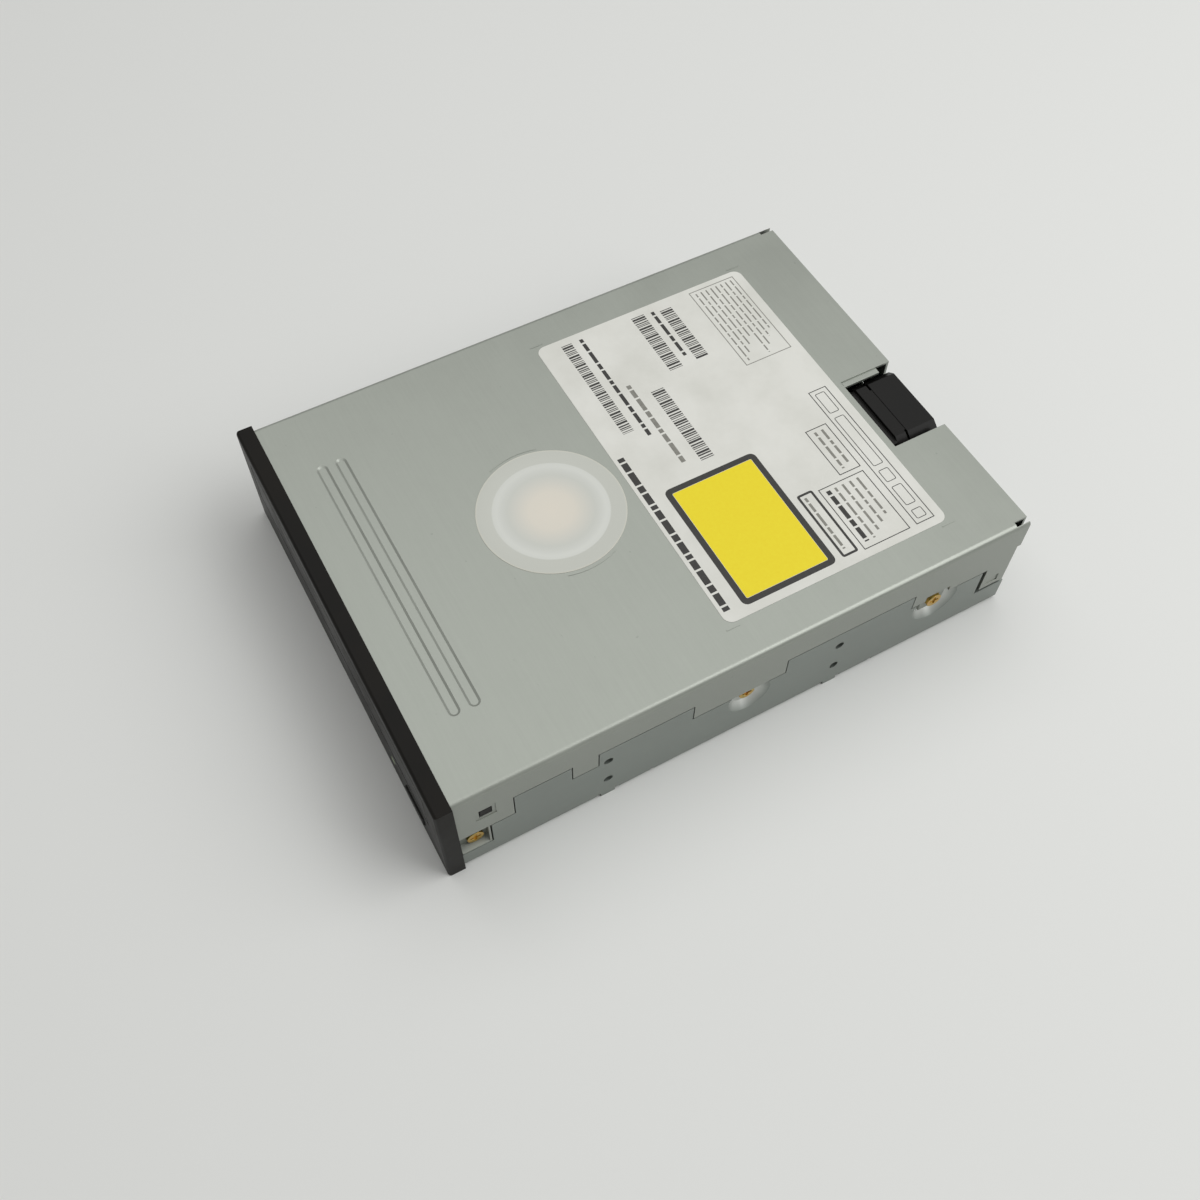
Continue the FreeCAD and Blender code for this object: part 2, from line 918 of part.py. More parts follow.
def mount_places():
    return (front + S.mount_setback, front + S.mount_setback + S.mount_pitch)


def board_screw_places():
    """Places of the four screws that hold the main board to the case."""
    places = []
    for side in SIDES:
        for y in (front + S.board_front + S.board_screw_front, rear - S.board_screw_rear):
            places.append(((board_half - S.board_screw_inset) * side, y))
    return places


def rear_cutouts():
    """X span and top of each opening in the case's rear wall."""
    gap = S.cutout_gap
    spans = (
        (power_x, S.power_width, S.power_height),
        (ide_x, S.ide_width, S.ide_height),
        (jumper_x, jumper_width, S.cap_block_height),
        (audio_x, S.audio_width, S.audio_height),
        (digital_x, S.digital_width, S.audio_height),
    )
    return [((x - w / 2 - gap, x + w / 2 + gap), board_top + h + gap) for x, w, h in spans]


def quarter_bend(name, radius, gauge, x, z, spin, y):
    """A quarter of a bent sheet about an axis along Y, turned by spin from +X to +Z."""
    pieces = []
    for share in (radius, radius - gauge):
        item = doc.addObject("Part::Cylinder", name)
        bind(item, "Radius", share)
        bind(item, "Height", Size.of(y[1]) - y[0])
        item.Angle = 90
        upright = FreeCAD.Rotation(FreeCAD.Vector(1, 0, 0), 90)
        turn = upright.multiply(FreeCAD.Rotation(FreeCAD.Vector(0, 0, 1), spin))
        item.Placement = FreeCAD.Placement(FreeCAD.Vector(), turn)
        bind(item, "Placement.Base.x", x)
        bind(item, "Placement.Base.y", y[1])
        bind(item, "Placement.Base.z", z)
        pieces.append(item)
    return cut(name + "_bend", *pieces)


def case_wall(side):
    """One side wall of the case, cut away where the cover's tabs hang down."""
    outer = half + over
    wall = block("case_wall", side_span(side, half - S.case_gauge, half),
                 (front, case_rear), (under + S.case_bend, S.seam_height - S.seam_gap))
    tools = []
    for start, end, low in tab_spans()[:4]:
        tools.append(block("case_pocket", side_span(side, half - S.case_gauge, outer),
                           (start - S.seam_gap, end + S.seam_gap),
                           (low - S.seam_gap, S.seam_height)))
    tools.append(block("case_screw_gap", side_span(side, half - S.case_gauge, outer),
                       (front, front + S.screw_tab_wall_end),
                       (S.screw_tab_wall, S.seam_height)))
    corner = rear - S.rear_tab_end
    tools.append(block("case_corner_gap", side_span(side, half - S.case_gauge, outer),
                       (corner, rear), (S.corner_tab_height - S.corner_tab_gap, S.seam_height)))
    return cut("case_side", wall, *tools)


def case_dimple(side, y, z, radius):
    """The raised back and the sunk face of one screw dimple."""
    skin = S.dimple_skin
    floor = radius - S.dimple_slope
    base = half - S.case_gauge if side > 0 else -half + S.case_gauge
    face = half if side > 0 else -half
    boss = taper("dimple_back", radius, floor + skin,
                 (base, y, z), S.dimple_depth, "X")
    sunk = taper("dimple_face", radius, floor,
                 (face, y, z), S.dimple_depth, "X")
    if side > 0:
        for item in (boss, sunk):
            item.Placement.Rotation = FreeCAD.Rotation(FreeCAD.Vector(0, 1, 0), -90)
    hole_start = chassis_half if side > 0 else -chassis_half - S.case_gauge
    hole = rod("dimple_hole", S.casing_screw_radius, (hole_start, y, z), S.case_gauge, "X")
    return boss, sunk, hole


def case_side_notches(side):
    """Small notches in the lower edge beside each foot and behind it."""
    tools = []
    for place in mount_places():
        foot = S.foot_length / 2
        starts = (place - foot - S.edge_notch_width, place + foot, place + S.edge_notch_first)
        for start in starts:
            tools.append(block("edge_notch", side_span(side, half - S.case_bend, half + over),
                               (start, start + S.edge_notch_width),
                               (0, under + S.edge_notch_height)))
    return tools


def bottom_case():
    pieces = [block("case_floor", (-half + S.case_bend, half - S.case_bend),
                    (front, case_rear), (under, inside_floor))]
    late = []
    for side in SIDES:
        pieces.append(case_wall(side))
        bend_x = (half - S.case_bend) * side
        spin = 180 if side < 0 else 270
        pieces.append(quarter_bend("case_corner", S.case_bend, S.case_gauge, bend_x,
                                   under + S.case_bend, spin, (front, case_rear)))
        for (y, z), radius in zip(side_screws(), (S.dimple_radius, S.rear_dimple_radius)):
            boss, sunk, hole = case_dimple(side, y, z, radius)
            pieces.append(boss)
            late += [sunk, hole]
        late += case_side_notches(side)
        for y in mount_places():
            edge = side_span(side, half - S.foot_width, half)
            pieces.append(block("case_foot", edge,
                                (y - S.foot_length / 2, y + S.foot_length / 2),
                                (0, inside_floor)))
            hole_x = (half - S.mount_inset) * side
            collar = rod("floor_collar", S.collar_radius, (hole_x, y, inside_floor),
                         S.collar_length)
            pieces.append(collar)
            late.append(rod("floor_hole", S.mount_radius, (hole_x, y, -over),
                            inside_floor + S.collar_length + over * 2))
            for z in (S.mount_low, S.mount_low + S.mount_rise):
                span = side_span(side, half - S.case_gauge - S.collar_length, half)
                pieces.append(rod("side_collar", S.collar_radius, (span[0], y, z),
                                  S.collar_length + S.case_gauge, "X"))
                late.append(rod("side_hole", S.mount_radius, (span[0] - over, y, z),
                                S.collar_length + S.case_gauge + over * 2, "X"))
    pieces.append(block("case_rear_wall", (-half + S.case_gauge, half - S.case_gauge),
                        (case_rear - S.case_gauge, case_rear), (under, S.case_flange_high)))
    for span, top in rear_cutouts():
        late.append(block("rear_cutout", span, (case_rear - S.case_gauge - over, rear + over),
                          (board_top - S.cutout_gap, top)))
    late.append(block("rear_notch", (notch_x0, notch_x1),
                      (case_rear - S.case_gauge - over, rear + over),
                      (roof - S.fan_drop - S.fan_side - S.cutout_gap, roof)))
    for x, y in board_screw_places():
        pieces.append(rod("board_pillar", S.pillar_radius, (x, y, inside_floor), S.board_gap))
        late.append(rod("pillar_hole", S.screw_radius, (x, y, -over), board_low + over * 2))
    for side in SIDES:
        x = (half - S.floor_tongue_inset) * side
        reach = S.floor_tongue_width / 2 + S.latch_clearance
        late.append(block("floor_latch", (x - reach, x + reach),
                          (front + S.latch_setback - S.latch_clearance,
                           front + S.floor_tongue_length + S.latch_clearance),
                          (0, inside_floor)))
        for x in (S.groove_inner_x * side, S.groove_outer_x * side):
            late.append(stadium("floor_groove", S.groove_width / 2, S.groove_length,
                                (x, front + S.groove_setback, under), S.groove_depth))
    solid = fuse("case_solid", *pieces)
    publish(cut("case", solid, *late), "bottom_case")


def stadium(name, radius, length, start, depth):
    """An upright slot-shaped block with round ends, running along Y from start."""
    x, y, z = start
    middle = block(name, (x - radius, x + radius), (y + radius, y + length - radius),
                   (z, z + depth))
    ends = [rod(name, radius, (x, y + radius, z), depth),
            rod(name, radius, (x, y + length - radius, z), depth)]
    return fuse(name + "_slot", middle, *ends)


# Top cover

def rib_form(name, y, floor, top, floor_half):
    """A long trough whose sides and round ends slope outwards from its floor."""
    flare = (S.rib_width - S.rib_floor) / (S.rib_depth * 2)
    reach = floor_half + (top - floor) * flare
    run = S.rib_length - S.rib_width
    points = [(y - floor_half, floor), (y + floor_half, floor), (y + reach, top), (y - reach, top)]
    pieces = [padded(name + "_run", "YZ_Plane", -run / 2, run, points)]
    for side in SIDES:
        pieces.append(taper(name + "_end", floor_half, reach, (run / 2 * side, y, floor),
                            top - floor))
    return fuse(name, *pieces)


def cover_rib(index):
    """One rib pressed down into the cover: the lump under the sheet and the groove on top."""
    y = front + S.rib_setback + S.rib_pitch * index
    floor = roof - S.rib_depth
    lump = rib_form("rib_lump", y, floor - S.cover_gauge, roof - S.cover_gauge / 2,
                    S.rib_floor / 2 + S.rib_wall)
    groove = rib_form("rib_groove", y, floor, roof + over, S.rib_floor / 2)
    return lump, groove


def cover_marks():
    """Fine positioning marks for the label and the seal."""
    pieces = []
    z = (roof - S.cover_gauge / 2, roof + S.mark_height)
    for side in SIDES:
        x = label_half + S.mark_gap
        span = side_span(side, x, x + S.mark_width)
        for y in (label_start - S.mark_gap, label_end - S.mark_length + S.mark_gap):
            pieces.append(block("label_mark", span, (y, y + S.mark_length), z))
    inner = S.seal_radius + S.arc_mark_gap
    for centre in (S.arc_mark_centre, S.arc_mark_centre + 180):
        arcs = []
        for radius in (inner + S.mark_width, inner):
            item = doc.addObject("Part::Cylinder", "seal_mark")
            bind(item, "Radius", radius)
            bind(item, "Height", z[1] - z[0])
            bind(item, "Angle", S.arc_mark_angle)
            arcs.append(move(item, ZERO, spindle_y, z[0], axis=(0, 0, 1),
                             angle=centre - S.arc_mark_angle / 2))
        pieces.append(cut("seal_arc", *arcs))
    return pieces


def screw_tab_rim(side, y):
    """The sloping sill and the rear end that join the sunk screw tab to the side's plane."""
    low = S.screw_tab_low
    high = low + S.screw_tab_rise
    thick = S.screw_tab_sill
    points = [(chassis_half * side, high), (half * side, low), (half * side, low + thick),
              (chassis_half * side, high + thick)]
    if side < 0:
        points.reverse()
    sill = padded("screw_tab_sill", "XZ_Plane", -y[1], y[1] - y[0], points)
    end = block("screw_tab_end", side_span(side, chassis_half, half), (y[1] - thick, y[1]),
                (high, S.step_height))
    return [sill, end]


def cover_side(side):
    """Flange, tabs, screw tab and bend on one side of the cover."""
    skin = side_span(side, half - S.cover_gauge, half)
    pieces = [block("cover_flange", skin, (front, rear), (S.seam_height, roof - S.cover_bend))]
    for start, end, low in tab_spans():
        pieces.append(block("cover_tab", skin, (start, end), (low, roof - S.cover_bend)))
    tab = (front + S.seam_gap, front + S.screw_tab_end)
    pieces.append(block("screw_tab_shelf", side_span(side, chassis_half, half), tab,
                        (S.step_height, S.step_height + S.cover_gauge)))
    tab_skin = side_span(side, chassis_half, chassis_half + S.cover_gauge)
    pieces.append(block("screw_tab", tab_skin, tab,
                        (S.screw_tab_low + S.screw_tab_rise, S.step_height)))
    pieces += screw_tab_rim(side, tab)
    pieces.append(block("corner_web", skin, (rear - S.rear_tab_end, rear - S.corner_tab_start),
                        (S.rear_tab_height, roof - S.cover_bend)))
    bend_x = (half - S.cover_bend) * side
    spin = 0 if side > 0 else 90
    pieces.append(quarter_bend("cover_corner", S.cover_bend, S.cover_gauge, bend_x,
                               roof - S.cover_bend, spin, (front, rear)))
    return pieces


def ear_place():
    """Middle of the bent ear along the side, which is where its screw is."""
    return rear - S.rear_screw_setback


def cover_ear(side):
    """The ear of the rear tab, bent inwards and lying on the floor of the case's dish."""
    y = ear_place()
    z = S.rear_screw_height
    skin = half - S.cover_gauge
    floor = half - S.dimple_depth
    face = floor + S.cover_gauge
    low = z - S.ear_drop
    knee = z + S.ear_knee
    top = knee + S.ear_rise
    profile = [(skin, top), (floor, knee), (floor, low), (face, low), (face, knee - S.ear_bend),
               (half, top - S.ear_bend), (half, top + S.ear_lap), (skin, top + S.ear_lap)]
    points = [(x * side, height) for x, height in profile]
    if side < 0:
        points.reverse()
    plate = padded("cover_ear", "XZ_Plane", -y - S.ear_half, S.ear_half * 2, points)
    span = side_span(side, floor - over, face + over)
    hole = rod("ear_hole", S.casing_screw_radius, (span[0], y, z), S.cover_gauge + over * 2, "X")
    return cut("cover_ear_bored", plate, hole)


def cover_side_cuts(side):
    """Screw hole, latch hole and corner relief on one side of the cover."""
    y = front + S.front_screw_setback
    through = side_span(side, chassis_half - over, chassis_half + S.cover_gauge + over)
    tools = [rod("screw_tab_hole", S.casing_screw_radius,
                 (through[0], y, S.front_screw_height), S.cover_gauge + over * 2, "X")]
    gap = S.latch_clearance
    y = (front + S.latch_setback - gap, front + S.latch_setback + S.latch_length + gap)
    z = (S.latch_low - gap, S.latch_low + S.latch_height + gap)
    tools.append(block("latch_hole", side_span(side, half - S.cover_gauge - over, half + over), y, z))
    rim = S.latch_rim
    tools.append(block("latch_rim", side_span(side, half - S.latch_rim_depth, half + over),
                       (y[0] - rim, y[1] + rim), (z[0] - rim, z[1] + rim)))
    dent_end = rear - S.corner_dent_inset
    tools.append(block("corner_dent", side_span(side, half - S.corner_dent_depth, half + over),
                       (dent_end - S.corner_dent_length, dent_end),
                       (S.corner_dent_low, S.corner_dent_low + S.corner_dent_height)))
    reach = S.ear_half + S.ear_gap
    tools.append(block("ear_window", side_span(side, half - S.cover_gauge - over, half + over),
                       (ear_place() - reach, ear_place() + reach),
                       (S.rear_tab_height - over,
                        S.rear_screw_height + S.ear_knee + S.ear_rise - S.ear_bend)))
    relief_x = half - S.cover_bend - S.case_rear_inset
    tools.append(block("corner_relief", side_span(side, relief_x,
                                                  relief_x + S.corner_relief_width),
                       (rear - S.corner_relief, rear + over),
                       (roof - S.corner_relief_drop, roof + over)))
    return tools


def top_cover():
    bent = half - S.cover_bend
    pieces = [block("cover_top", (-bent, bent), (front, rear), (roof - S.cover_gauge, roof))]
    flange_x = bent - S.case_rear_inset
    pieces.append(block("cover_rear", (-flange_x, flange_x), (rear - S.cover_gauge, rear),
                        (S.cover_flange_low, roof)))
    tools = []
    for side in SIDES:
        pieces += cover_side(side)
        tools += cover_side_cuts(side)
    for index in range(int(S.rib_count.value)):
        lump, groove = cover_rib(index)
        pieces.append(lump)
        tools.append(groove)
    pieces += cover_marks()
    tools.append(rod("seal_opening", S.seal_hole_radius,
                     (ZERO, spindle_y, roof - S.cover_gauge - over),
                     S.cover_gauge + over * 2))
    tools.append(block("notch", (notch_x0, notch_x1), (notch_y, rear + over),
                       (S.cover_flange_low - over, roof + over)))
    shell = cut("cover_cut", fuse("cover_solid", *pieces), *tools)
    lip = block("notch_lip", (notch_x0 - S.lip_root, notch_x0 + S.lip_reach),
                (notch_y + S.lip_inset, notch_y + S.lip_inset + S.lip_length),
                (roof - S.lip_drop - S.cover_gauge, roof - S.lip_drop))
    ears = [cover_ear(side) for side in SIDES]
    publish(fuse("cover", shell, lip, *ears), "top_cover")


def cover_sheets():
    """The label and the seal that lie on the cover."""
    wide = label_half
    label = padded("label", "XY_Plane", roof, S.label_thickness,
                   corners((-wide, wide), (label_start, label_end)))
    round_edges(label, S.label_round, lambda edge: runs_along(edge, "Z"))
    publish(label, "rating_label")
    seal = padded("seal", "XY_Plane", roof, S.seal_thickness,
                  circles=[(ZERO, spindle_y, S.seal_radius)])
    publish(seal, "seal_sticker")


# Front bezel, door, button and light

def tongue_inner():
    return chassis_half + S.tongue_gap


def front_bezel():
    wide = bezel_half
    skin = padded("bezel_skin", "XZ_Plane", -front, S.bezel_depth,
                  corners((-wide, wide), (ZERO, S.bezel_height)))
    face = bezel_face.value
    round_edges(skin, S.bezel_round, lambda edge: lies_at(edge, "Y", face))
    wall = S.bezel_wall
    hollow = block("bezel_hollow", (-wide + wall, wide - wall), (bezel_back_wall, front + over),
                   (wall, S.bezel_height - wall))
    pieces = [cut("bezel_shell", skin, hollow)]
    door_half = runner_half + S.door_gap
    low = S.door_low - S.door_gap
    high = S.door_low + S.door_height + S.door_gap
    for side in SIDES:
        inner = tongue_inner()
        outer = inner + S.tongue_thickness
        z = (S.latch_low - (S.tongue_height - S.latch_height) / 2,
             S.latch_low + (S.tongue_height + S.latch_height) / 2)
        pieces.append(block("side_tongue", side_span(side, inner, outer),
                            (front - S.bezel_wall, front + S.tongue_length), z))
        pieces.append(block("side_tongue_root", side_span(side, inner, wide - wall / 2),
                            (bezel_back_wall - wall / 2, front), z))
        pieces.append(block("side_nub", side_span(side, outer, half - S.latch_rim_depth),
                            (front + S.latch_setback, front + S.latch_setback + S.latch_length),
                            (S.latch_low, S.latch_low + S.latch_height)))
        x = (half - S.floor_tongue_inset) * side
        reach = S.floor_tongue_width / 2
        lift = inside_floor + S.floor_tongue_lift
        pieces.append(block("floor_tongue", (x - reach, x + reach),
                            (bezel_back_wall - wall / 2, front + S.floor_tongue_length),
                            (lift, lift + S.tongue_thickness)))
        pieces.append(block("floor_nub", (x - reach, x + reach),
                            (front + S.latch_setback, front + S.floor_tongue_length),
                            (under + S.latch_clearance, lift)))
        pieces.append(block("floor_tongue_root", (x - reach, x + reach),
                            (bezel_back_wall - wall / 2, front),
                            (wall / 2, lift + S.tongue_thickness)))
    through = (bezel_face - over, front)
    tools = [block("tray_opening", (-door_half, door_half), through, (low, high))]
    gap = S.button_gap
    reach_x = S.button_width / 2 + gap
    reach_z = S.button_height / 2 + gap
    tools.append(block("button_opening", (button_x - reach_x, button_x + reach_x),
                       through, (S.button_z - reach_z, S.button_z + reach_z)))
    tools.append(rod("light_opening", S.light_radius,
                     (half - S.light_inset, bezel_face - over, S.button_z),
                     S.bezel_depth, "Y"))
    tools.append(rod("pinhole", S.pinhole_radius,
                     (half - S.pinhole_inset, bezel_face - over, S.button_z),
                     S.bezel_depth, "Y"))
    publish(cut("bezel", fuse("bezel_solid", *pieces), *tools), "front_bezel")


def tray_door():
    wide = runner_half
    plate = padded("door_plate", "XZ_Plane", -tray_face, S.door_thickness,
                   corners((-wide, wide), (S.door_low, S.door_low + S.door_height)))
    face = bezel_face.value
    round_edges(plate, S.door_round, lambda edge: lies_at(edge, "Y", face))
    pieces = [plate]
    for side in SIDES:
        x = S.door_tab_spread / 2 * side
        reach = S.door_tab_width / 2
        pieces.append(block("door_tab", (x - reach, x + reach),
                            (tray_face, tray_face + S.door_tab_length),
                            (S.deck_height - S.door_tab_height, S.deck_height)))
    publish(fuse("door", *pieces), "tray_front")


def eject_parts():
    x, z = button_x, S.button_z
    wide, high = S.button_width / 2, S.button_height / 2
    lip = S.button_flange
    flange_front = bezel_back_wall + S.plunger_gap
    flange_back = flange_front + S.button_flange_thickness
    cap = padded("button_cap", "XZ_Plane", -flange_front, flange_front - bezel_face + S.button_proud,
                 corners((x - wide, x + wide), (z - high, z + high)))
    face = (bezel_face - S.button_proud).value
    round_edges(cap, S.door_round, lambda edge: lies_at(edge, "Y", face))
    flange = block("button_flange", (x - wide - lip, x + wide + lip), (flange_front, flange_back),
                   (z - high - lip, z + high + lip))
    publish(fuse("button", cap, flange), "eject_button")
    switch_front = front - S.switch_depth
    publish(rod("plunger", S.plunger_radius, (x, flange_back, z),
                switch_front + S.plunger_entry - flange_back, "Y"), "switch_plunger")
    wide, high = S.switch_width / 2, S.switch_height / 2
    housing = block("switch_box", (x - wide, x + wide), (switch_front, front),
                    (z - high, z + high))
    bore = rod("switch_bore", S.plunger_radius + S.plunger_gap, (x, switch_front - over, z),
               S.switch_depth - S.switch_back + over, "Y")
    publish(cut("switch", housing, bore), "eject_switch")


def light_parts():
    x, z = half - S.light_inset, S.button_z
    led_front = front - S.switch_depth
    wide, high = S.led_width / 2, S.led_height / 2
    publish(block("led", (x - wide, x + wide), (led_front, front), (z - high, z + high)),
            "status_led")
    radius = S.light_radius
    stem = rod("lens_stem", radius, (x, bezel_face, z), S.bezel_wall, "Y")
    flange = rod("lens_flange", radius + S.light_flange, (x, bezel_back_wall, z),
                 S.light_flange_thickness, "Y")
    publish(fuse("light", stem, flange), "led_lens")
    board_right = half - S.front_board_inset
    publish(block("switch_board", (board_right - S.front_board_width, board_right),
                  (front, front + S.front_board_thickness),
                  (S.front_board_low, S.front_board_low + S.front_board_height)), "front_board")


# Main chassis

def gear_x():
    """X of the tray gear: its pinion's pitch circle touches the rack's pitch line."""
    rack_root = -deck_half + S.rack_edge_gap + S.rack_bar
    pitch_line = rack_root + S.rack_module * S.dedendum_share
    return pitch_line + S.rack_module * S.pinion_teeth / 2


def gear_y():
    return front + S.gear_setback


def belt_gear_x():
    return gear_x() + S.train_module * (S.wheel_teeth + S.belt_pinion_teeth) / 2


def wheel_low():
    return chassis_floor_top + S.gear_lift


def pulley_low():
    return wheel_low() + S.wheel_face + S.pulley_lift


def pinion_high():
    return S.deck_height - S.pinion_gap


def chassis_screw_places():
    """Side screw places as depth and height, the cover's front one first."""
    return ((front + S.front_screw_setback, S.front_screw_height),) + side_screws()


def bridge_screw_places():
    pitch = S.bridge_screw_pitch / 2
    x = bridge_half - S.bridge_screw_inset
    return [(x * side, spindle_y + pitch * end) for side in SIDES for end in SIDES]


def motor_screw_places():
    return [(-S.motor_x + S.motor_screw_spread / 2 * side, gear_y()) for side in SIDES]


def cam_low_pin():
    """Height of the lifting pins while the traverse lies lowered."""
    return (S.pivot_height - S.lift_fall
            + (S.lift_pin_height - S.pivot_height) * tilt_cosine)


def cam_guides():
    """Blocks at both ends of the cam slider, each with a channel for its arm."""
    pieces = []
    y = front + S.cam_setback
    wall = S.cam_guide_wall
    start = S.cam_half_width + S.cam_travel / 2 + wall
    for side in SIDES:
        pieces.append(block("cam_guide", side_span(side, start, start + S.cam_guide_width),
                            (y - S.cam_clearance - wall, y + S.cam_thickness + wall),
                            (S.chassis_floor, S.cam_arm_low + S.cam_arm_height + wall * 2)))
    return pieces


def cam_channels():
    pieces = []
    y = front + S.cam_setback
    gap = S.cam_clearance
    for side in SIDES:
        pieces.append(block("cam_channel", side_span(side, S.cam_half_width, chassis_in),
                            (y - gap, y + S.cam_thickness + gap),
                            (S.cam_arm_low - gap, S.cam_arm_low + S.cam_arm_height + gap)))
    return pieces


def chassis_rails(side):
    """The ledge under the tray's runner and the lip over it."""
    y = (front + S.rail_start, chassis_rear)
    ledge_top = S.deck_height - S.slide_gap
    lip_low = S.deck_height + S.runner_thickness + S.slide_gap
    return [block("rail_ledge", side_span(side, chassis_in - S.rail_width, chassis_in), y,
                  (ledge_top - S.rail_thickness, ledge_top)),
            block("rail_lip", side_span(side, chassis_in - S.rail_lip_width, chassis_in), y,
                  (lip_low, lip_low + S.rail_lip_thickness))]


def main_chassis():
    y = (chassis_front, chassis_rear)
    wall = S.front_wall_thickness
    floor = block("chassis_floor", (-chassis_in, chassis_in), y,
                  (S.chassis_floor, chassis_floor_top))
    well = block("chassis_well", (-S.well_half_width, S.well_half_width),
                 (front + S.well_start, well_rear), (S.chassis_floor - over, chassis_floor_top + over))
    pieces = [cut("chassis_deck", floor, well)]
    pieces.append(block("chassis_front_wall", (-chassis_in, chassis_in),
                        (chassis_front, chassis_front + wall),
                        (S.chassis_low, S.front_wall_height)))
    pieces.append(block("chassis_rear_wall", (-chassis_in, chassis_in),
                        (chassis_rear - wall, chassis_rear),
                        (S.chassis_floor, S.rear_wall_height)))
    length = S.bridge_length / 2
    for side in SIDES:
        pieces.append(block("chassis_wall", side_span(side, chassis_in, chassis_half), y,
                            (S.chassis_low, S.chassis_high)))
        pieces += chassis_rails(side)
        pieces.append(block("bridge_tower", side_span(side, chassis_half - S.tower_width,
                                                      chassis_half),
                            (spindle_y - length, spindle_y + length),
                            (S.chassis_high, S.bridge_height)))
        reach = S.pivot_block_length / 2
        pieces.append(block("pivot_block", side_span(side, S.well_half_width,
                                                     S.well_half_width + S.pivot_block_width),
                            (pivot_y - reach, pivot_y + reach),
                            (S.chassis_floor, S.chassis_floor + S.pivot_block_height)))
    pieces += cam_guides()
    seat_radius = S.motor_radius + S.motor_gap + S.motor_seat_wall
    seat_top = S.motor_seat_height + S.motor_seat_plate
    pieces.append(rod("motor_seat", seat_radius, (-S.motor_x, gear_y(), S.chassis_floor),
                      seat_top - S.chassis_floor))
    pieces.append(rod("tray_gear_post", S.gear_post_radius, (gear_x(), gear_y(), S.chassis_floor),
                      pinion_high() - S.post_cap - S.chassis_floor))
    belt_top = pulley_low() + S.pulley_face + S.post_cap
    pieces.append(rod("belt_gear_post", S.gear_post_radius,
                      (belt_gear_x(), gear_y(), S.chassis_floor), belt_top - S.chassis_floor))
    solid = fuse("chassis_solid", *pieces)
    publish(cut("chassis", solid, *chassis_cuts()), "main_chassis")


def chassis_cuts():
    """Motor well, channels, bearings and pilot holes of the chassis."""
    seat_bore = S.motor_radius + S.motor_gap
    tools = [rod("motor_well", seat_bore, (-S.motor_x, gear_y(), S.chassis_floor - over),
                 S.motor_seat_height - S.chassis_floor + over)]
    tools.append(rod("motor_boss_hole", S.motor_boss_radius + S.motor_gap,
                     (-S.motor_x, gear_y(), S.chassis_floor), S.motor_seat_height))
    for x, y in motor_screw_places():
        tools.append(rod("motor_screw_hole", S.screw_radius, (x, y, S.motor_seat_height - over),
                         S.motor_seat_plate + over * 2))
    tools += cam_channels()
    span = S.well_half_width + S.pivot_block_width + over
    tools.append(rod("pivot_bore", S.pivot_radius + S.pivot_gap,
                     (-span, pivot_y, S.pivot_height), span * 2, "X"))
    depth = S.casing_screw_length - S.cover_gauge
    for side in SIDES:
        start = chassis_half - depth if side > 0 else -chassis_half
        for y, z in chassis_screw_places():
            tools.append(rod("side_pilot", S.casing_screw_radius, (start, y, z), depth, "X"))
    for x, y in bridge_screw_places():
        bottom = S.bridge_height + S.bridge_gauge - S.screw_length
        tools.append(rod("bridge_pilot", S.screw_radius, (x, y, bottom), S.screw_length))
    return tools


# Toothed parts

FLANK_STEPS = 3


def flank(module, teeth):
    """Radius and half angle of points up one involute tooth flank."""
    pressure = math.radians(S.pressure_angle.value)
    pitch = module * teeth / 2
    base = pitch * math.cos(pressure)
    tip = pitch + S.addendum_share.value * module
    root = pitch - S.dedendum_share.value * module
    half_tooth = (math.pi * module / 2 - S.tooth_thinning.value) / (2 * pitch)
    foot = max(root, base)
    radii = [root] + [foot + (tip - foot) * step / FLANK_STEPS for step in range(FLANK_STEPS + 1)]
    points = []
    for radius in radii:
        angle = math.acos(min(1.0, base / radius))
        spread = (math.tan(pressure) - pressure) - (math.tan(angle) - angle)
        points.append((radius, half_tooth + spread))
    return points


def gear_blank(module, teeth, low, high, first_tooth):
    """A toothed disc about the Z axis, one tooth centred on the first_tooth angle."""
    side = flank(module, teeth)
    points = []
    for tooth in range(teeth):
        centre = first_tooth + 2 * math.pi * tooth / teeth
        points += [(radius, centre - spread) for radius, spread in side]
        points += [(radius, centre + spread) for radius, spread in reversed(side)]
    ring_points = [FreeCAD.Vector(r * math.cos(a), r * math.sin(a), low) for r, a in points]
    face = Part.Face(Part.makePolygon(ring_points + ring_points[:1]))
    return face.extrude(FreeCAD.Vector(0, 0, high - low))


def rack_blank():
    """The tray's toothed bar, its teeth towards +X, a gap facing the pinion at rest."""
    module = S.rack_module.value
    pitch = math.pi * module
    tooth = (pitch / 2 - S.tooth_thinning.value) / 2
    slope = math.tan(math.radians(S.pressure_angle.value))
    root = -S.dedendum_share.value * module
    crest = S.addendum_share.value * module
    back = root - S.rack_bar.value
    first = -(S.rack_lead_teeth * 2 + 1).value * pitch / 2
    points = []
    room = (tray_rear - S.rack_tail - gear_y()).value - first
    for index in range(int(room / pitch)):
        centre = first + index * pitch
        points += [(root, centre - tooth + root * slope), (crest, centre - tooth + crest * slope)]
        points += [(crest, centre + tooth - crest * slope), (root, centre + tooth - root * slope)]
    points = [(back, points[0][1])] + points + [(back, points[-1][1])]
    line_x = (gear_x() - S.rack_module * S.pinion_teeth / 2).value
    low = (S.deck_height - S.rack_height).value
    corners_3d = [FreeCAD.Vector(line_x + x, gear_y().value + y, low) for x, y in points]
    face = Part.Face(Part.makePolygon(corners_3d + corners_3d[:1]))
    return face.extrude(FreeCAD.Vector(0, 0, S.rack_height.value))


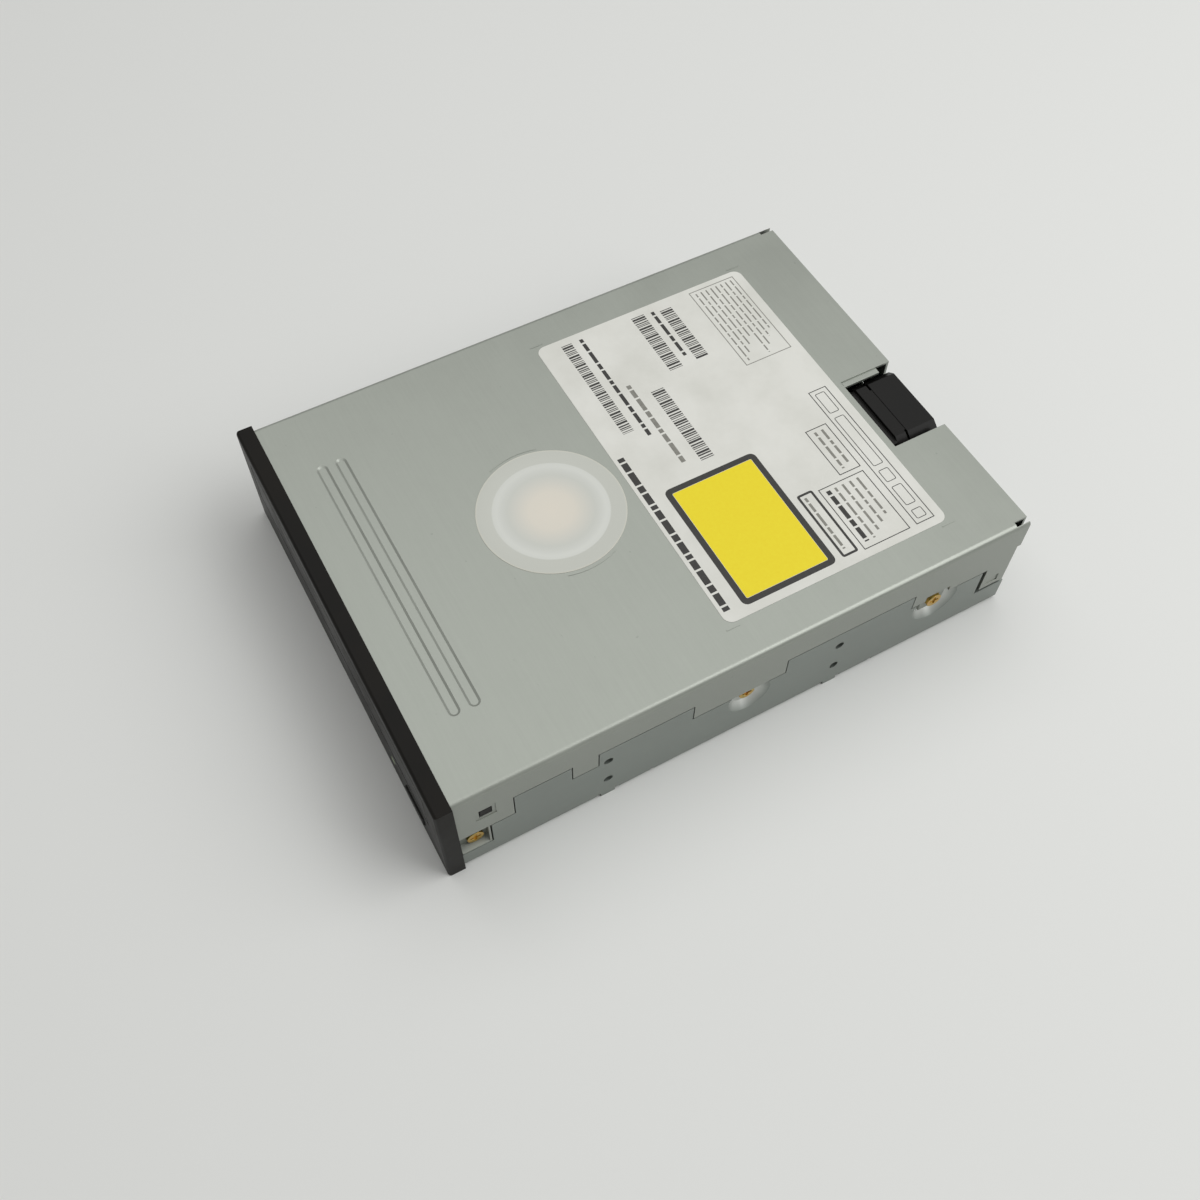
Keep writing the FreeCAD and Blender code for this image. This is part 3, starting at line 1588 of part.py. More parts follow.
def tray_gear():
    low, high = wheel_low(), pinion_high()
    wheel = gear_blank(S.train_module.value, int(S.wheel_teeth.value), low.value,
                       (low + S.wheel_face).value, 0.0)
    pinion = gear_blank(S.rack_module.value, int(S.pinion_teeth.value),
                        (high - S.pinion_face).value, high.value, math.pi)
    centre = FreeCAD.Vector(gear_x().value, gear_y().value, 0)
    toothed = []
    for name, shape in (("tray_wheel", wheel), ("tray_pinion", pinion)):
        shape.translate(centre)
        toothed.append(shaped(name, shape))
    hub = rod("tray_gear_hub", S.gear_hub_radius, (gear_x(), gear_y(), low), high - low)
    bore = rod("tray_gear_bore", S.gear_post_radius + S.gear_bore_gap,
               (gear_x(), gear_y(), low - over), high - low + over * 2)
    publish(cut("tray_drive", fuse("tray_gear_solid", hub, *toothed), bore), "tray_gear")


def grooved_pulley(name, radius, x, y, low):
    """A pulley with a square groove for the belt."""
    mid = low + (S.pulley_face - S.belt_size) / 2
    disc = rod(name + "_disc", radius, (x, y, low), S.pulley_face)
    groove = cut(name + "_ring",
                 rod(name + "_outer", radius + over, (x, y, mid - S.belt_gap),
                     S.belt_size + S.belt_gap * 2),
                 rod(name + "_inner", radius - S.pulley_groove, (x, y, mid - over),
                     S.belt_size + over * 2))
    return cut(name + "_wheel", disc, groove)


def pulley_parts():
    x, y = belt_gear_x(), gear_y()
    low = wheel_low()
    teeth = int(S.belt_pinion_teeth.value)
    pinion = gear_blank(S.train_module.value, teeth, low.value,
                        (pulley_low() + S.pulley_lift / 2).value, math.pi + math.pi / teeth)
    pinion.translate(FreeCAD.Vector(x.value, y.value, 0))
    wheel = grooved_pulley("belt_pulley", S.pulley_radius, x, y, pulley_low())
    belt_gear_height = pulley_low() + S.pulley_face - low
    bore = rod("belt_gear_bore", S.gear_post_radius + S.gear_bore_gap, (x, y, low - over),
               belt_gear_height + over * 2)
    solid = fuse("belt_gear_solid", wheel, shaped("belt_pinion", pinion))
    publish(cut("belt_gear", solid, bore), "pulley_gear")
    wheel = grooved_pulley("motor_wheel", S.motor_pulley_radius, -S.motor_x, y, pulley_low())
    bore = rod("motor_wheel_bore", S.motor_shaft_radius, (-S.motor_x, y, pulley_low() - over),
               S.pulley_face + over * 2)
    publish(cut("motor_wheel_solid", wheel, bore), "motor_pulley")


def belt_loop(first, last, first_radius, last_radius):
    """Outline of a loop round two circles on one line along X."""
    span = last - first
    lean = math.acos((first_radius - last_radius) / span)
    up = FreeCAD.Vector(math.cos(lean), math.sin(lean), 0)
    down = FreeCAD.Vector(math.cos(lean), -math.sin(lean), 0)
    a = FreeCAD.Vector(first, 0, 0)
    b = FreeCAD.Vector(last, 0, 0)
    edges = [Part.LineSegment(a + up * first_radius, b + up * last_radius),
             Part.Arc(b + up * last_radius, b + FreeCAD.Vector(last_radius, 0, 0),
                      b + down * last_radius),
             Part.LineSegment(b + down * last_radius, a + down * first_radius),
             Part.Arc(a + down * first_radius, a - FreeCAD.Vector(first_radius, 0, 0),
                      a + up * first_radius)]
    return Part.Face(Part.Wire([edge.toShape() for edge in edges]))


def drive_belt():
    big = (S.pulley_radius - S.pulley_groove + S.belt_gap).value
    small = (S.motor_pulley_radius - S.pulley_groove + S.belt_gap).value
    size = S.belt_size.value
    first, last = belt_gear_x().value, -S.motor_x.value
    outer = belt_loop(first, last, big + size, small + size)
    inner = belt_loop(first, last, big, small)
    band = outer.cut(inner).extrude(FreeCAD.Vector(0, 0, size))
    low = pulley_low() + (S.pulley_face - S.belt_size) / 2
    publish(move(shaped("belt", band), ZERO, gear_y(), low), "drive_belt")


def loading_motor():
    x, y = -S.motor_x, gear_y()
    can = rod("motor_can", S.motor_radius, (x, y, S.motor_bottom),
              S.motor_seat_height - S.motor_bottom)
    boss = rod("motor_boss", S.motor_boss_radius, (x, y, S.motor_seat_height), S.motor_seat_plate)
    shaft = rod("motor_shaft", S.motor_shaft_radius, (x, y, S.motor_seat_height),
                pulley_low() + S.pulley_face - S.motor_seat_height - S.motor_gap)
    holes = [rod("motor_thread", S.screw_radius, (a, b, S.motor_seat_height - S.screw_length),
                 S.screw_length + over)
             for a, b in motor_screw_places()]
    publish(cut("motor", fuse("motor_solid", can, boss, shaft), *holes), "loading_motor")


# Tray

def disc_tray():
    tail = front + S.spindle_setback + S.disc_recess_radius + S.rim_margin
    x = (-deck_half, deck_half)
    deck = block("tray_deck", x, (tray_face, tray_rear), (S.deck_height, deck_top))
    rim = cut("tray_rim", block("tray_rim_block", x, (tray_face, tail), (deck_top, rim_top)),
              rod("disc_recess", S.disc_recess_radius, (ZERO, spindle_y, deck_top),
                  S.rim_height + over))
    pieces = [deck, rim]
    for side in SIDES:
        pieces.append(block("tray_runner", side_span(side, deck_half, runner_half),
                            (front + S.rail_start, tray_rear),
                            (S.deck_height, S.deck_height + S.runner_thickness)))
        pieces.append(block("tray_arm_rim", side_span(side, deck_half - S.arm_rim_width,
                                                      deck_half), (tail, tray_rear),
                            (deck_top, deck_top + S.arm_rim_height)))
    pieces.append(shaped("tray_rack", rack_blank()))
    tools = [rod("small_recess", S.small_recess_radius,
                 (ZERO, spindle_y, deck_top - S.small_recess_depth), S.rim_height)]
    tools.append(rod("slot_end", S.slot_half_width, (ZERO, spindle_y, S.deck_height - over),
                     S.rim_height * 2 + S.deck_thickness))
    tools.append(block("slot", (-S.slot_half_width, S.slot_half_width),
                       (spindle_y, tray_rear + over), (S.deck_height - over, rim_top + over)))
    for side in SIDES:
        tools.append(rod("finger_dip", S.finger_radius,
                         (S.finger_x * side, spindle_y - S.disc_recess_radius
                          + S.finger_radius, deck_top), S.rim_height + over))
    publish(cut("tray", fuse("tray_solid", *pieces), *tools), "disc_tray")


# Cam slider

def cam_slot(x, low, high):
    """A slanted slot through the slider, from the lowered pin up to the raised pin."""
    radius = (S.pin_radius + S.pin_clearance).value
    start = FreeCAD.Vector(x, 0, low)
    end = FreeCAD.Vector(x - S.cam_travel.value, 0, high)
    along = (end - start).normalize()
    side = FreeCAD.Vector(-along.z, 0, along.x) * radius
    nose = along * (radius + S.pin_clearance.value)
    spare = along * S.pin_clearance.value
    first, last = start - spare, end + spare
    edges = [Part.LineSegment(first + side, last + side),
             Part.Arc(last + side, end + nose, last - side),
             Part.LineSegment(last - side, first - side),
             Part.Arc(first - side, start - nose, first + side)]
    face = Part.Face(Part.Wire([edge.toShape() for edge in edges]))
    return face.extrude(FreeCAD.Vector(0, (S.cam_thickness + over * 2).value, 0))


def cam_slider():
    """Drawn at rest, half its travel to the left of the middle."""
    y = front + S.cam_setback
    shift = -S.cam_travel / 2
    span_y = (y, y + S.cam_thickness)
    reach = chassis_in - S.cam_wall_gap - S.cam_travel / 2
    plate = block("cam_plate", (shift - S.cam_half_width, shift + S.cam_half_width), span_y,
                  (S.cam_low, S.cam_low + S.cam_height))
    arms = block("cam_arms", (shift - reach, shift + reach), span_y,
                 (S.cam_arm_low, S.cam_arm_low + S.cam_arm_height))
    tools = []
    for side in SIDES:
        shape = cam_slot((S.pin_spread / 2 * side).value, cam_low_pin().value,
                         S.lift_pin_height.value)
        shape.translate(FreeCAD.Vector(0, (y - over).value, 0))
        tools.append(shaped("cam_slot", shape))
    publish(cut("cam", fuse("cam_solid", plate, arms), *tools), "cam_slider")


# Clamp bridge and clamper

def clamp_bridge():
    length = S.bridge_length / 2
    z = (S.bridge_height, S.bridge_height + S.bridge_gauge)
    wide = bridge_half
    pieces = [block("bridge_bar", (-wide, wide), (spindle_y - length, spindle_y + length), z),
              rod("bridge_disc", S.bridge_disc_radius, (ZERO, spindle_y, z[0]), S.bridge_gauge)]
    for end in SIDES:
        edge = spindle_y + (length - S.bridge_gauge / 2) * end
        for side in SIDES:
            pieces.append(block("bridge_edge", side_span(side, S.bridge_disc_radius,
                                                        wide - S.bridge_edge_setback),
                                (edge - S.bridge_gauge / 2, edge + S.bridge_gauge / 2),
                                (z[0], z[1] + S.bridge_flange)))
    through = S.bridge_gauge + over * 2
    tools = [rod("bridge_hole", S.bridge_hole_radius, (ZERO, spindle_y, z[0] - over),
                 through)]
    for x, y in bridge_screw_places():
        tools.append(rod("bridge_screw_hole", S.screw_radius, (x, y, z[0] - over), through))
    publish(cut("bridge", fuse("bridge_solid", *pieces), *tools), "clamp_bridge")


def clamper_parts():
    low = pad_top + S.clamper_gap
    bridge_top = S.bridge_height + S.bridge_gauge
    cap_low = bridge_top + S.clamper_rest_gap
    shoulder = S.bridge_height - S.clamper_shoulder
    ring_low = low + S.clamper_recess_depth + S.clamper_web
    ring_high = ring_low + S.clamper_ring_thickness
    puck = turned("puck", [
        (S.clamper_recess_radius, low), (S.clamper_radius, low), (S.clamper_radius, shoulder),
        (S.clamper_neck_radius, shoulder), (S.clamper_neck_radius, cap_low),
        (S.clamper_ring_radius, cap_low), (S.clamper_ring_radius, ring_low),
        (ZERO, ring_low), (ZERO, ring_low - S.clamper_web),
        (S.clamper_recess_radius, ring_low - S.clamper_web)])
    publish(move(puck, ZERO, spindle_y, ZERO), "clamper_puck")
    plate = turned("clamp_plate", [
        (S.clamper_ring_hole, ring_low), (S.clamper_ring_radius, ring_low),
        (S.clamper_ring_radius, ring_high), (S.clamper_ring_hole, ring_high)])
    publish(move(plate, ZERO, spindle_y, ZERO), "clamper_ring")
    cap_high = cap_low + S.clamper_cap_height
    cap = turned("clamp_cap", [
        (ZERO, ring_high), (S.clamper_ring_radius, ring_high), (S.clamper_ring_radius, cap_low),
        (S.clamper_cap_radius, cap_low), (S.clamper_cap_radius, cap_high), (ZERO, cap_high)])
    publish(move(cap, ZERO, spindle_y, ZERO), "clamper_cap")


# Traverse: everything here is drawn level and then lowered

def traverse_holder():
    wide, bar = S.holder_half_width, S.holder_bar
    y = (front + S.holder_front, pivot_y + S.holder_tail)
    z = (S.holder_low, S.holder_low + S.holder_thickness)
    plate = block("holder_plate", (-wide, wide), y, z)
    window = block("holder_window", (-wide + bar, wide - bar),
                   (y[0] + S.holder_front_bar, y[1] - S.holder_rear_bar),
                   (z[0] - over, z[1] + over))
    pieces = [cut("holder_ring", plate, window)]
    for side in SIDES:
        pieces.append(rod("lift_pin", S.pin_radius,
                          (S.pin_spread / 2 * side, y[0] - S.pin_reach, S.lift_pin_height),
                          S.pin_reach + bar / 2, "Y"))
        start = wide - bar / 2 if side > 0 else -wide - S.pivot_length
        pieces.append(rod("pivot_pin", S.pivot_radius, (start, pivot_y, S.pivot_height),
                          S.pivot_length + bar / 2, "X"))
    tools = []
    for x, y in damper_places():
        tools.append(rod("damper_pilot", S.damper_screw_radius,
                         (x, y, z[1] - S.damper_screw_depth), S.damper_screw_depth + over))
    publish(lowered(cut("holder", fuse("holder_solid", *pieces), *tools)), "traverse_holder")


def damper_places():
    ends = (front + S.ear_front, pivot_y - S.ear_tail)
    return [(S.damper_x * side, y) for side in SIDES for y in ends]


def traverse_frame():
    wide = S.frame_half_width
    deck_end = front + S.frame_front + S.frame_deck_length
    low = S.frame_deck_low
    high = low + S.frame_bar_height
    rear_end = frame_rear + S.frame_rear_bar
    pieces = [block("frame_deck", (-wide, wide), (front + S.frame_front, deck_end),
                    (low, low + S.frame_deck_thickness)),
              block("frame_rear_bar", (-wide, wide), (frame_rear, rear_end),
                    (low - S.yoke_thickness, high)),
              block("frame_right_bar", (wide - S.frame_bar, wide), (deck_end, rear_end),
                    (low, high)),
              block("frame_left_bar", (-wide, -wide + S.frame_thin_bar),
                    (deck_end - S.rod_seat, rear_end), (low, high)),
              block("frame_arch", (-wide, -S.rod_x), (deck_end - S.rod_seat, deck_end),
                    (high - S.yoke_thickness, high))]
    for side in SIDES:
        pieces.append(block("rod_seat", (S.rod_x * side - S.rod_seat, S.rod_x * side + S.rod_seat),
                            (deck_end - S.rod_seat * 2, deck_end), (low, high - S.yoke_thickness)))
    feed_x = (-S.screw_x - S.feed_block_width / 2, -S.screw_x + S.feed_block_width / 2)
    feed_y = screw_end + S.journal_gap
    pieces.append(block("feed_block", feed_x, (feed_y, frame_rear + S.frame_bar / 2),
                        (S.rod_height - S.feed_block_height / 2,
                         S.rod_height + S.feed_block_height / 2)))
    tools = []
    ear_z = (S.ear_low, S.ear_low + S.ear_thickness)
    for x, y in damper_places():
        side = 1 if x.value > 0 else -1
        span = side_span(side, wide - S.frame_thin_bar, wide + S.ear_width)
        pieces.append(block("frame_ear", span, (y - S.ear_length / 2, y + S.ear_length / 2),
                            ear_z))
        tools.append(rod("ear_hole", S.damper_waist, (x, y, ear_z[0] - over),
                         S.ear_thickness + over * 2))
    for side in SIDES:
        tools.append(rod("rod_bore", S.rod_radius,
                         (S.rod_x * side, deck_end - S.rod_seat, S.rod_height),
                         rear_end - S.rod_seat / 2 - deck_end + S.rod_seat, "Y"))
    tools.append(rod("journal_bore", S.journal_radius + S.journal_gap,
                     (-S.screw_x, feed_y - over, S.rod_height),
                     S.journal_length + S.journal_gap + over, "Y"))
    motor_wide = S.feed_bracket_width / 2 + S.journal_gap
    motor_end = front + S.feed_motor_start + S.feed_motor_length + S.feed_bracket_thickness
    tools.append(block("feed_motor_gap", (-wide - over, -S.screw_x + motor_wide),
                       (front + S.feed_motor_start - S.feed_bracket_thickness,
                        motor_end + S.side_gap), (low - over, high + over)))
    screw_gap = S.lead_screw_radius + S.side_gap
    tools.append(block("feed_screw_gap", (-wide + S.frame_thin_bar, -S.screw_x + screw_gap),
                       (motor_end, deck_end + over), (low - over, S.rod_height + screw_gap)))
    publish(lowered(cut("frame", fuse("frame_solid", *pieces), *tools)), "traverse_frame")


def damper_parts():
    low = S.holder_low + S.holder_thickness
    rubbers, screws = [], []
    for x, y in damper_places():
        top = low + S.damper_height
        lower = rod("damper_lower", S.damper_radius, (x, y, low), S.ear_low - low)
        waist = rod("damper_waist", S.damper_waist, (x, y, low), S.damper_height)
        upper_low = S.ear_low + S.ear_thickness
        upper = rod("damper_upper", S.damper_radius, (x, y, upper_low), top - upper_low)
        hole = rod("damper_hole", S.damper_screw_radius, (x, y, low - over), S.damper_height + over * 2)
        rubbers.append(cut("damper", fuse("damper_solid", lower, waist, upper), hole))
        bottom = low - S.damper_screw_depth
        screws.append(fuse("damper_screw",
                           rod("damper_shank", S.damper_screw_radius, (x, y, bottom),
                               top - bottom),
                           rod("damper_head", S.damper_head_radius, (x, y, top),
                               S.damper_head_height)))
    publish(lowered(group("dampers", rubbers)), "damper_rubbers")
    publish(lowered(group("damper_bolts", screws)), "damper_screws")


def guide_rods():
    deck_end = front + S.frame_front + S.frame_deck_length
    rear_end = frame_rear + S.frame_rear_bar
    start = deck_end - S.rod_seat
    rods = [rod("guide_rod", S.rod_radius, (S.rod_x * side, start, S.rod_height),
                rear_end - S.rod_seat / 2 - start, "Y") for side in SIDES]
    publish(lowered(group("rods", rods)), "guide_rods")


def feed_parts():
    x, z = -S.screw_x, S.rod_height
    start = front + S.feed_motor_start
    end = start + S.feed_motor_length
    thick = S.feed_bracket_thickness
    wide = S.feed_bracket_width / 2
    can = rod("feed_can", S.feed_motor_radius, (x, start, z), S.feed_motor_length, "Y")
    plate = block("feed_plate", (x - wide / 2, x + wide), (end, end + thick),
                  (z - wide / 2, z + wide / 2))
    foot = block("feed_foot", (x + wide - thick, x + wide + S.frame_bar),
                 (start, end - thick), (S.frame_deck_low + S.frame_deck_thickness,
                                        S.frame_deck_low + S.frame_deck_thickness + thick))
    web = block("feed_web", (x + wide - thick, x + wide), (start, end + thick),
                (z - wide / 2, z + wide / 2))
    bore = rod("feed_bore", S.feed_shaft_radius + S.journal_gap, (x, end - S.rod_seat, z),
               S.rod_seat * 2, "Y")
    solid = cut("feed_solid", fuse("feed_body", can, plate, foot, web), bore)
    publish(lowered(solid), "feed_motor")
    screw_start = front + S.lead_screw_start
    thread = rod("feed_thread", S.lead_screw_radius, (x, screw_start, z),
                 screw_end - screw_start, "Y")
    journal = rod("feed_journal", S.journal_radius, (x, screw_end, z), S.journal_length, "Y")
    stub_start = end - S.rod_seat / 2
    stub = rod("feed_stub", S.feed_shaft_radius, (x, stub_start, z),
               screw_start - stub_start, "Y")
    publish(lowered(fuse("feed_screw", thread, journal, stub)), "lead_screw")


def disc_motor():
    """Stator, rotor, turntable and its pad, drawn about the spindle axis."""
    base = S.frame_deck_low + S.frame_deck_thickness
    plate_top = base + S.stator_plate_thickness
    bearing_top = plate_top + S.bearing_height
    bore = S.shaft_radius + S.shaft_gap
    stator_low = plate_top + S.stator_low
    stator_high = stator_low + S.stator_height
    stator = turned("stator", [
        (bore, base), (S.stator_plate_radius, base), (S.stator_plate_radius, plate_top),
        (S.bearing_radius, plate_top), (S.bearing_radius, stator_low),
        (S.stator_radius, stator_low), (S.stator_radius, stator_high),
        (S.bearing_radius, stator_high), (S.bearing_radius, bearing_top), (bore, bearing_top)])
    publish(lowered(stator, ZERO, spindle_y, ZERO), "spindle_base")
    rotor_low = plate_top + S.rotor_gap
    rotor_high = rotor_low + S.rotor_height
    hub_top = pad_top + S.hub_height - S.hub_cone_height
    rotor = turned("rotor", [
        (ZERO, base + S.shaft_gap), (S.shaft_radius, base + S.shaft_gap),
        (S.shaft_radius, rotor_high - S.rotor_wall), (S.rotor_radius - S.rotor_wall,
                                                      rotor_high - S.rotor_wall),
        (S.rotor_radius - S.rotor_wall, rotor_low), (S.rotor_radius, rotor_low),
        (S.rotor_radius, rotor_high), (S.shaft_radius, rotor_high),
        (S.shaft_radius, hub_top), (ZERO, hub_top)])
    publish(lowered(rotor, ZERO, spindle_y, ZERO), "motor_rotor")
    plate_high = pad_top - S.pad_thickness
    table = turned("table", [
        (S.shaft_radius, rotor_high), (S.rotor_radius, rotor_high),
        (S.turntable_radius, plate_high - S.turntable_thickness),
        (S.turntable_radius, plate_high), (S.hub_radius, plate_high), (S.hub_radius, hub_top),
        (S.hub_tip_radius, hub_top + S.hub_cone_height),
        (S.shaft_radius, hub_top + S.hub_cone_height)])
    publish(lowered(table, ZERO, spindle_y, ZERO), "turntable")
    pad = turned("table_pad", [
        (S.pad_inner_radius, plate_high), (S.turntable_radius, plate_high),
        (S.turntable_radius, pad_top), (S.pad_inner_radius, pad_top)])
    publish(lowered(pad, ZERO, spindle_y, ZERO), "turntable_pad")


def pickup_parts():
    start = lens_y - S.sled_nose
    y = (start, start + S.sled_length)
    top = S.sled_low + S.sled_height
    body = block("sled_block", (-S.sled_half_width, S.sled_half_width), y, (S.sled_low, top))
    arms = block("sled_arms", (-S.sled_arm_reach, S.sled_arm_reach), y,
                 (S.sled_arm_low, S.sled_arm_low + S.sled_arm_height))
    tools = [rod("sled_bore", S.rod_radius + S.rod_gap, (S.rod_x * side, start - over, S.rod_height),
                 S.sled_length + over * 2, "Y") for side in SIDES]
    publish(lowered(cut("sled", fuse("sled_solid", body, arms), *tools)), "pickup_body")
    nose = lens_y - S.yoke_nose
    yoke_y = (nose, nose + S.yoke_length)
    wide = S.yoke_half_width
    yoke = [block("yoke_plate", (-wide, wide), yoke_y, (top, top + S.yoke_thickness))]
    for end in (yoke_y[0], yoke_y[1] - S.yoke_post):
        yoke.append(block("yoke_post", (-wide / 2, wide / 2), (end, end + S.yoke_post),
                          (top, top + S.yoke_post_height)))
    publish(lowered(fuse("yoke", *yoke)), "actuator_yoke")
    cap_y = (nose - S.cap_gauge * 2, nose - S.cap_gauge * 2 + S.cap_length)
    wide = S.cap_half_width
    gauge = S.cap_gauge
    outer = block("cap_outer", (-wide, wide), cap_y, (top, top + S.cap_height))
    inner = block("cap_inner", (-wide + gauge, wide - gauge),
                  (cap_y[0] + gauge, cap_y[1] - gauge), (top - over, top + S.cap_height - gauge))
    window = block("cap_window", (-S.cap_window_half_width, S.cap_window_half_width),
                   (lens_y - S.cap_window_length / 2, lens_y + S.cap_window_length / 2),
                   (top, top + S.cap_height + over))
    publish(lowered(cut("cap_shell", outer, inner, window)), "pickup_cover")


def lens_parts():
    top = S.sled_low + S.sled_height
    low = top + S.yoke_thickness + S.focus_travel + S.slide_gap
    wide, long = S.holder_lens_width / 2, S.holder_lens_length / 2
    high = low + S.holder_lens_height
    lens_low = high - S.lens_thickness
    seat = block("lens_seat", (-wide, wide), (lens_y - long, lens_y + long), (low, high))
    hole = rod("lens_light_hole", S.lens_radius - S.lens_flange, (ZERO, lens_y, low - over),
               S.holder_lens_height + over * 2)
    counter = rod("lens_counterbore", S.lens_radius, (ZERO, lens_y, lens_low),
                  S.lens_thickness + over)
    publish(lowered(cut("lens_carrier", seat, hole, counter)), "lens_holder")
    lens = turned("lens", [
        (ZERO, lens_low), (S.lens_radius, lens_low),
        (S.lens_radius, lens_low + S.lens_edge_height),
        (S.lens_brow_radius, lens_low + S.lens_brow_height),
        (S.lens_crown_radius, lens_low + S.lens_thickness),
        (ZERO, lens_low + S.lens_thickness)])
    publish(lowered(lens, ZERO, lens_y, ZERO), "objective_lens")


def feed_nut():
    x, z = -S.screw_x, S.rod_height
    start = lens_y - S.sled_nose + S.nut_start
    y = (start, start + S.nut_length)
    wide = S.nut_width / 2
    top = z + S.nut_height
    saddle = block("nut_saddle", (x - wide / 2, -S.sled_arm_reach), y, (z, top))
    groove = rod("nut_groove", S.lead_screw_radius + S.nut_gap, (x, start - over, z),
                 S.nut_length + over * 2, "Y")
    publish(lowered(cut("nut", saddle, groove)), "feed_nut")


def flat_strip(name, points, x, width):
    """A flat cable: a strip of constant thickness bent along straight runs in Y and Z."""
    thick = S.flex_thickness
    upper = [(y, z + thick) for y, z in points]
    lower = list(reversed(points))
    return padded(name, "YZ_Plane", x - width / 2, width, upper + lower)


def flex_socket_y():
    """Depth of the connector that the pickup's cable plugs into."""
    return front + S.board_front + S.flex_socket_setback


def pickup_cable():
    """The pickup's cable as it lies at rest."""
    y0 = lens_y + S.sled_length - S.sled_nose
    drop = (pivot_y - y0) * tilt_sine
    z0 = S.sled_low - drop - S.flex_sag
    socket_y = flex_socket_y()
    socket_z = board_top + S.flex_socket_height
    points = [(y0 - S.sled_nose, z0), (y0, z0), (socket_y - S.sled_nose, socket_z),
              (socket_y, socket_z)]
    publish(flat_strip("pickup_cable", points, ZERO, S.pickup_flex_width), "pickup_flex")


# Main board and its connectors

def main_board():
    plate = block("board", (-board_half, board_half),
                  (front + S.board_front, board_rear), (board_low, board_top))
    holes = [rod("board_hole", S.screw_radius, (x, y, board_low - over), S.board_thickness + over * 2)
             for x, y in board_screw_places()]
    publish(cut("board_cut", plate, *holes), "main_board")
    big = S.chip_size / 2
    chips = []
    base = front + S.board_front
    for side in SIDES:
        x = S.chip_x * side
        for y, wide, long in ((base + S.chip_size, big, big),
                              (base + S.chip_size * 2, S.small_chip_length / 2,
                               S.small_chip_width / 2)):
            chips.append(block("chip", (x - wide, x + wide), (y - long, y + long),
                               (board_top, board_top + S.chip_height)))
    publish(group("chips", chips), "board_chips")
    y = rear - S.capacitor_setback
    cans = [rod("capacitor", S.capacitor_radius, (x, y, board_top), S.capacitor_height)
            for x in (power_x + S.capacitor_step, power_x + S.capacitor_step * 2,
                      audio_x)]
    publish(group("capacitors", cans), "board_capacitors")
    sockets = []
    for x, y, reach in (
            (ZERO, flex_socket_y(), S.flex_socket_width / 2),
            (half - S.front_flex_inset, base + S.flex_socket_length,
             S.front_flex_width / 2 + S.side_gap)):
        sockets.append(block("flex_socket", (x - reach, x + reach),
                             (y, y + S.flex_socket_length),
                             (board_top, board_top + S.flex_socket_height)))
    publish(group("flex_sockets", sockets), "flex_connectors")


def pin_grid(name, x, rows, columns, y, tail, missing=()):
    """Square pins that run out to the rear, each with a leg down to the board."""
    side = S.pin_side
    pins = []
    first = x - S.pin_pitch * (columns - 1) / 2
    for row, z in enumerate(rows):
        for column in range(columns):
            if (row, column) in missing:
                continue
            px = first + S.pin_pitch * column
            leg_y = y[0] + S.pin_pitch * (0 if row else 1) * tail
            span = (px - side / 2, px + side / 2)
            arm = block(name + "_arm", span, (leg_y, y[1]), (z - side / 2, z + side / 2))
            leg = block(name + "_leg", span, (leg_y, leg_y + side), (board_top, z + side / 2))
            pins.append(fuse(name, arm, leg))
    return pins


def ide_rows():
    mid = board_top + S.ide_height / 2
    return (mid - S.pin_pitch / 2, mid + S.pin_pitch / 2)


def ide_parts():
    wide = S.ide_width / 2
    x = (ide_x - wide, ide_x + wide)
    start = socket_rear - S.ide_depth
    z = (board_top, board_top + S.ide_height)
    wall = S.ide_wall
    pin_y = (start - S.pin_pitch - S.pin_tail, socket_rear - S.pin_tip_inset)
    columns = int(S.ide_columns.value)
    missing = ((0, columns // 2),)
    pins = group("ide_contacts", pin_grid("ide_pin", ide_x, ide_rows(), columns, pin_y, 1,
                                          missing))
    publish(pins, "ide_pins")
    shell = block("ide_shell", x, (start, socket_rear), z)
    cavity = block("ide_cavity", (x[0] + wall, x[1] - wall), (start + S.ide_back, socket_rear + over),
                   (z[0] + wall, z[1] - wall))
    key = S.ide_key_width / 2
    slot = block("ide_key", (ide_x - key, ide_x + key), (start + S.ide_back, socket_rear + over),
                 (z[1] - wall - over, z[1] + over))
    hollow = cut("ide_hollow", shell, cavity, slot)
    publish(cut("ide_body", hollow, pins), "ide_socket")


def power_parts():
    wide = S.power_width / 2
    x = (power_x - wide, power_x + wide)
    start = socket_rear - S.power_depth
    z = (board_top, board_top + S.power_height)
    wall = S.power_wall
    mid = (z[0] + z[1]) / 2
    pins = []
    first = power_x - S.power_pitch * (S.power_columns - 1) / 2
    for column in range(int(S.power_columns.value)):
        px = first + S.power_pitch * column
        leg_y = start - S.pin_tail
        arm = rod("power_arm", S.power_pin_radius, (px, leg_y, mid),
                  socket_rear - S.pin_tip_inset - leg_y, "Y")
        leg = rod("power_leg", S.power_pin_radius, (px, leg_y, board_top), mid - board_top)
        pins.append(fuse("power_pin", arm, leg))
    pins = group("power_contacts", pins)
    publish(pins, "power_pins")
    shell = block("power_shell", x, (start, socket_rear), z)
    inner = (x[0] + wall, x[1] - wall)
    low, high = z[0] + wall, z[1] - wall
    corner = S.power_corner
    cavity = padded("power_cavity", "XZ_Plane", -(socket_rear + over),
                    S.power_depth - S.power_back + over,
                    [(inner[0], low), (inner[1], low), (inner[1], high - corner),
                     (inner[1] - corner, high), (inner[0] + corner, high),
                     (inner[0], high - corner)])
    publish(cut("power_body", cut("power_hollow", shell, cavity), pins), "power_socket")


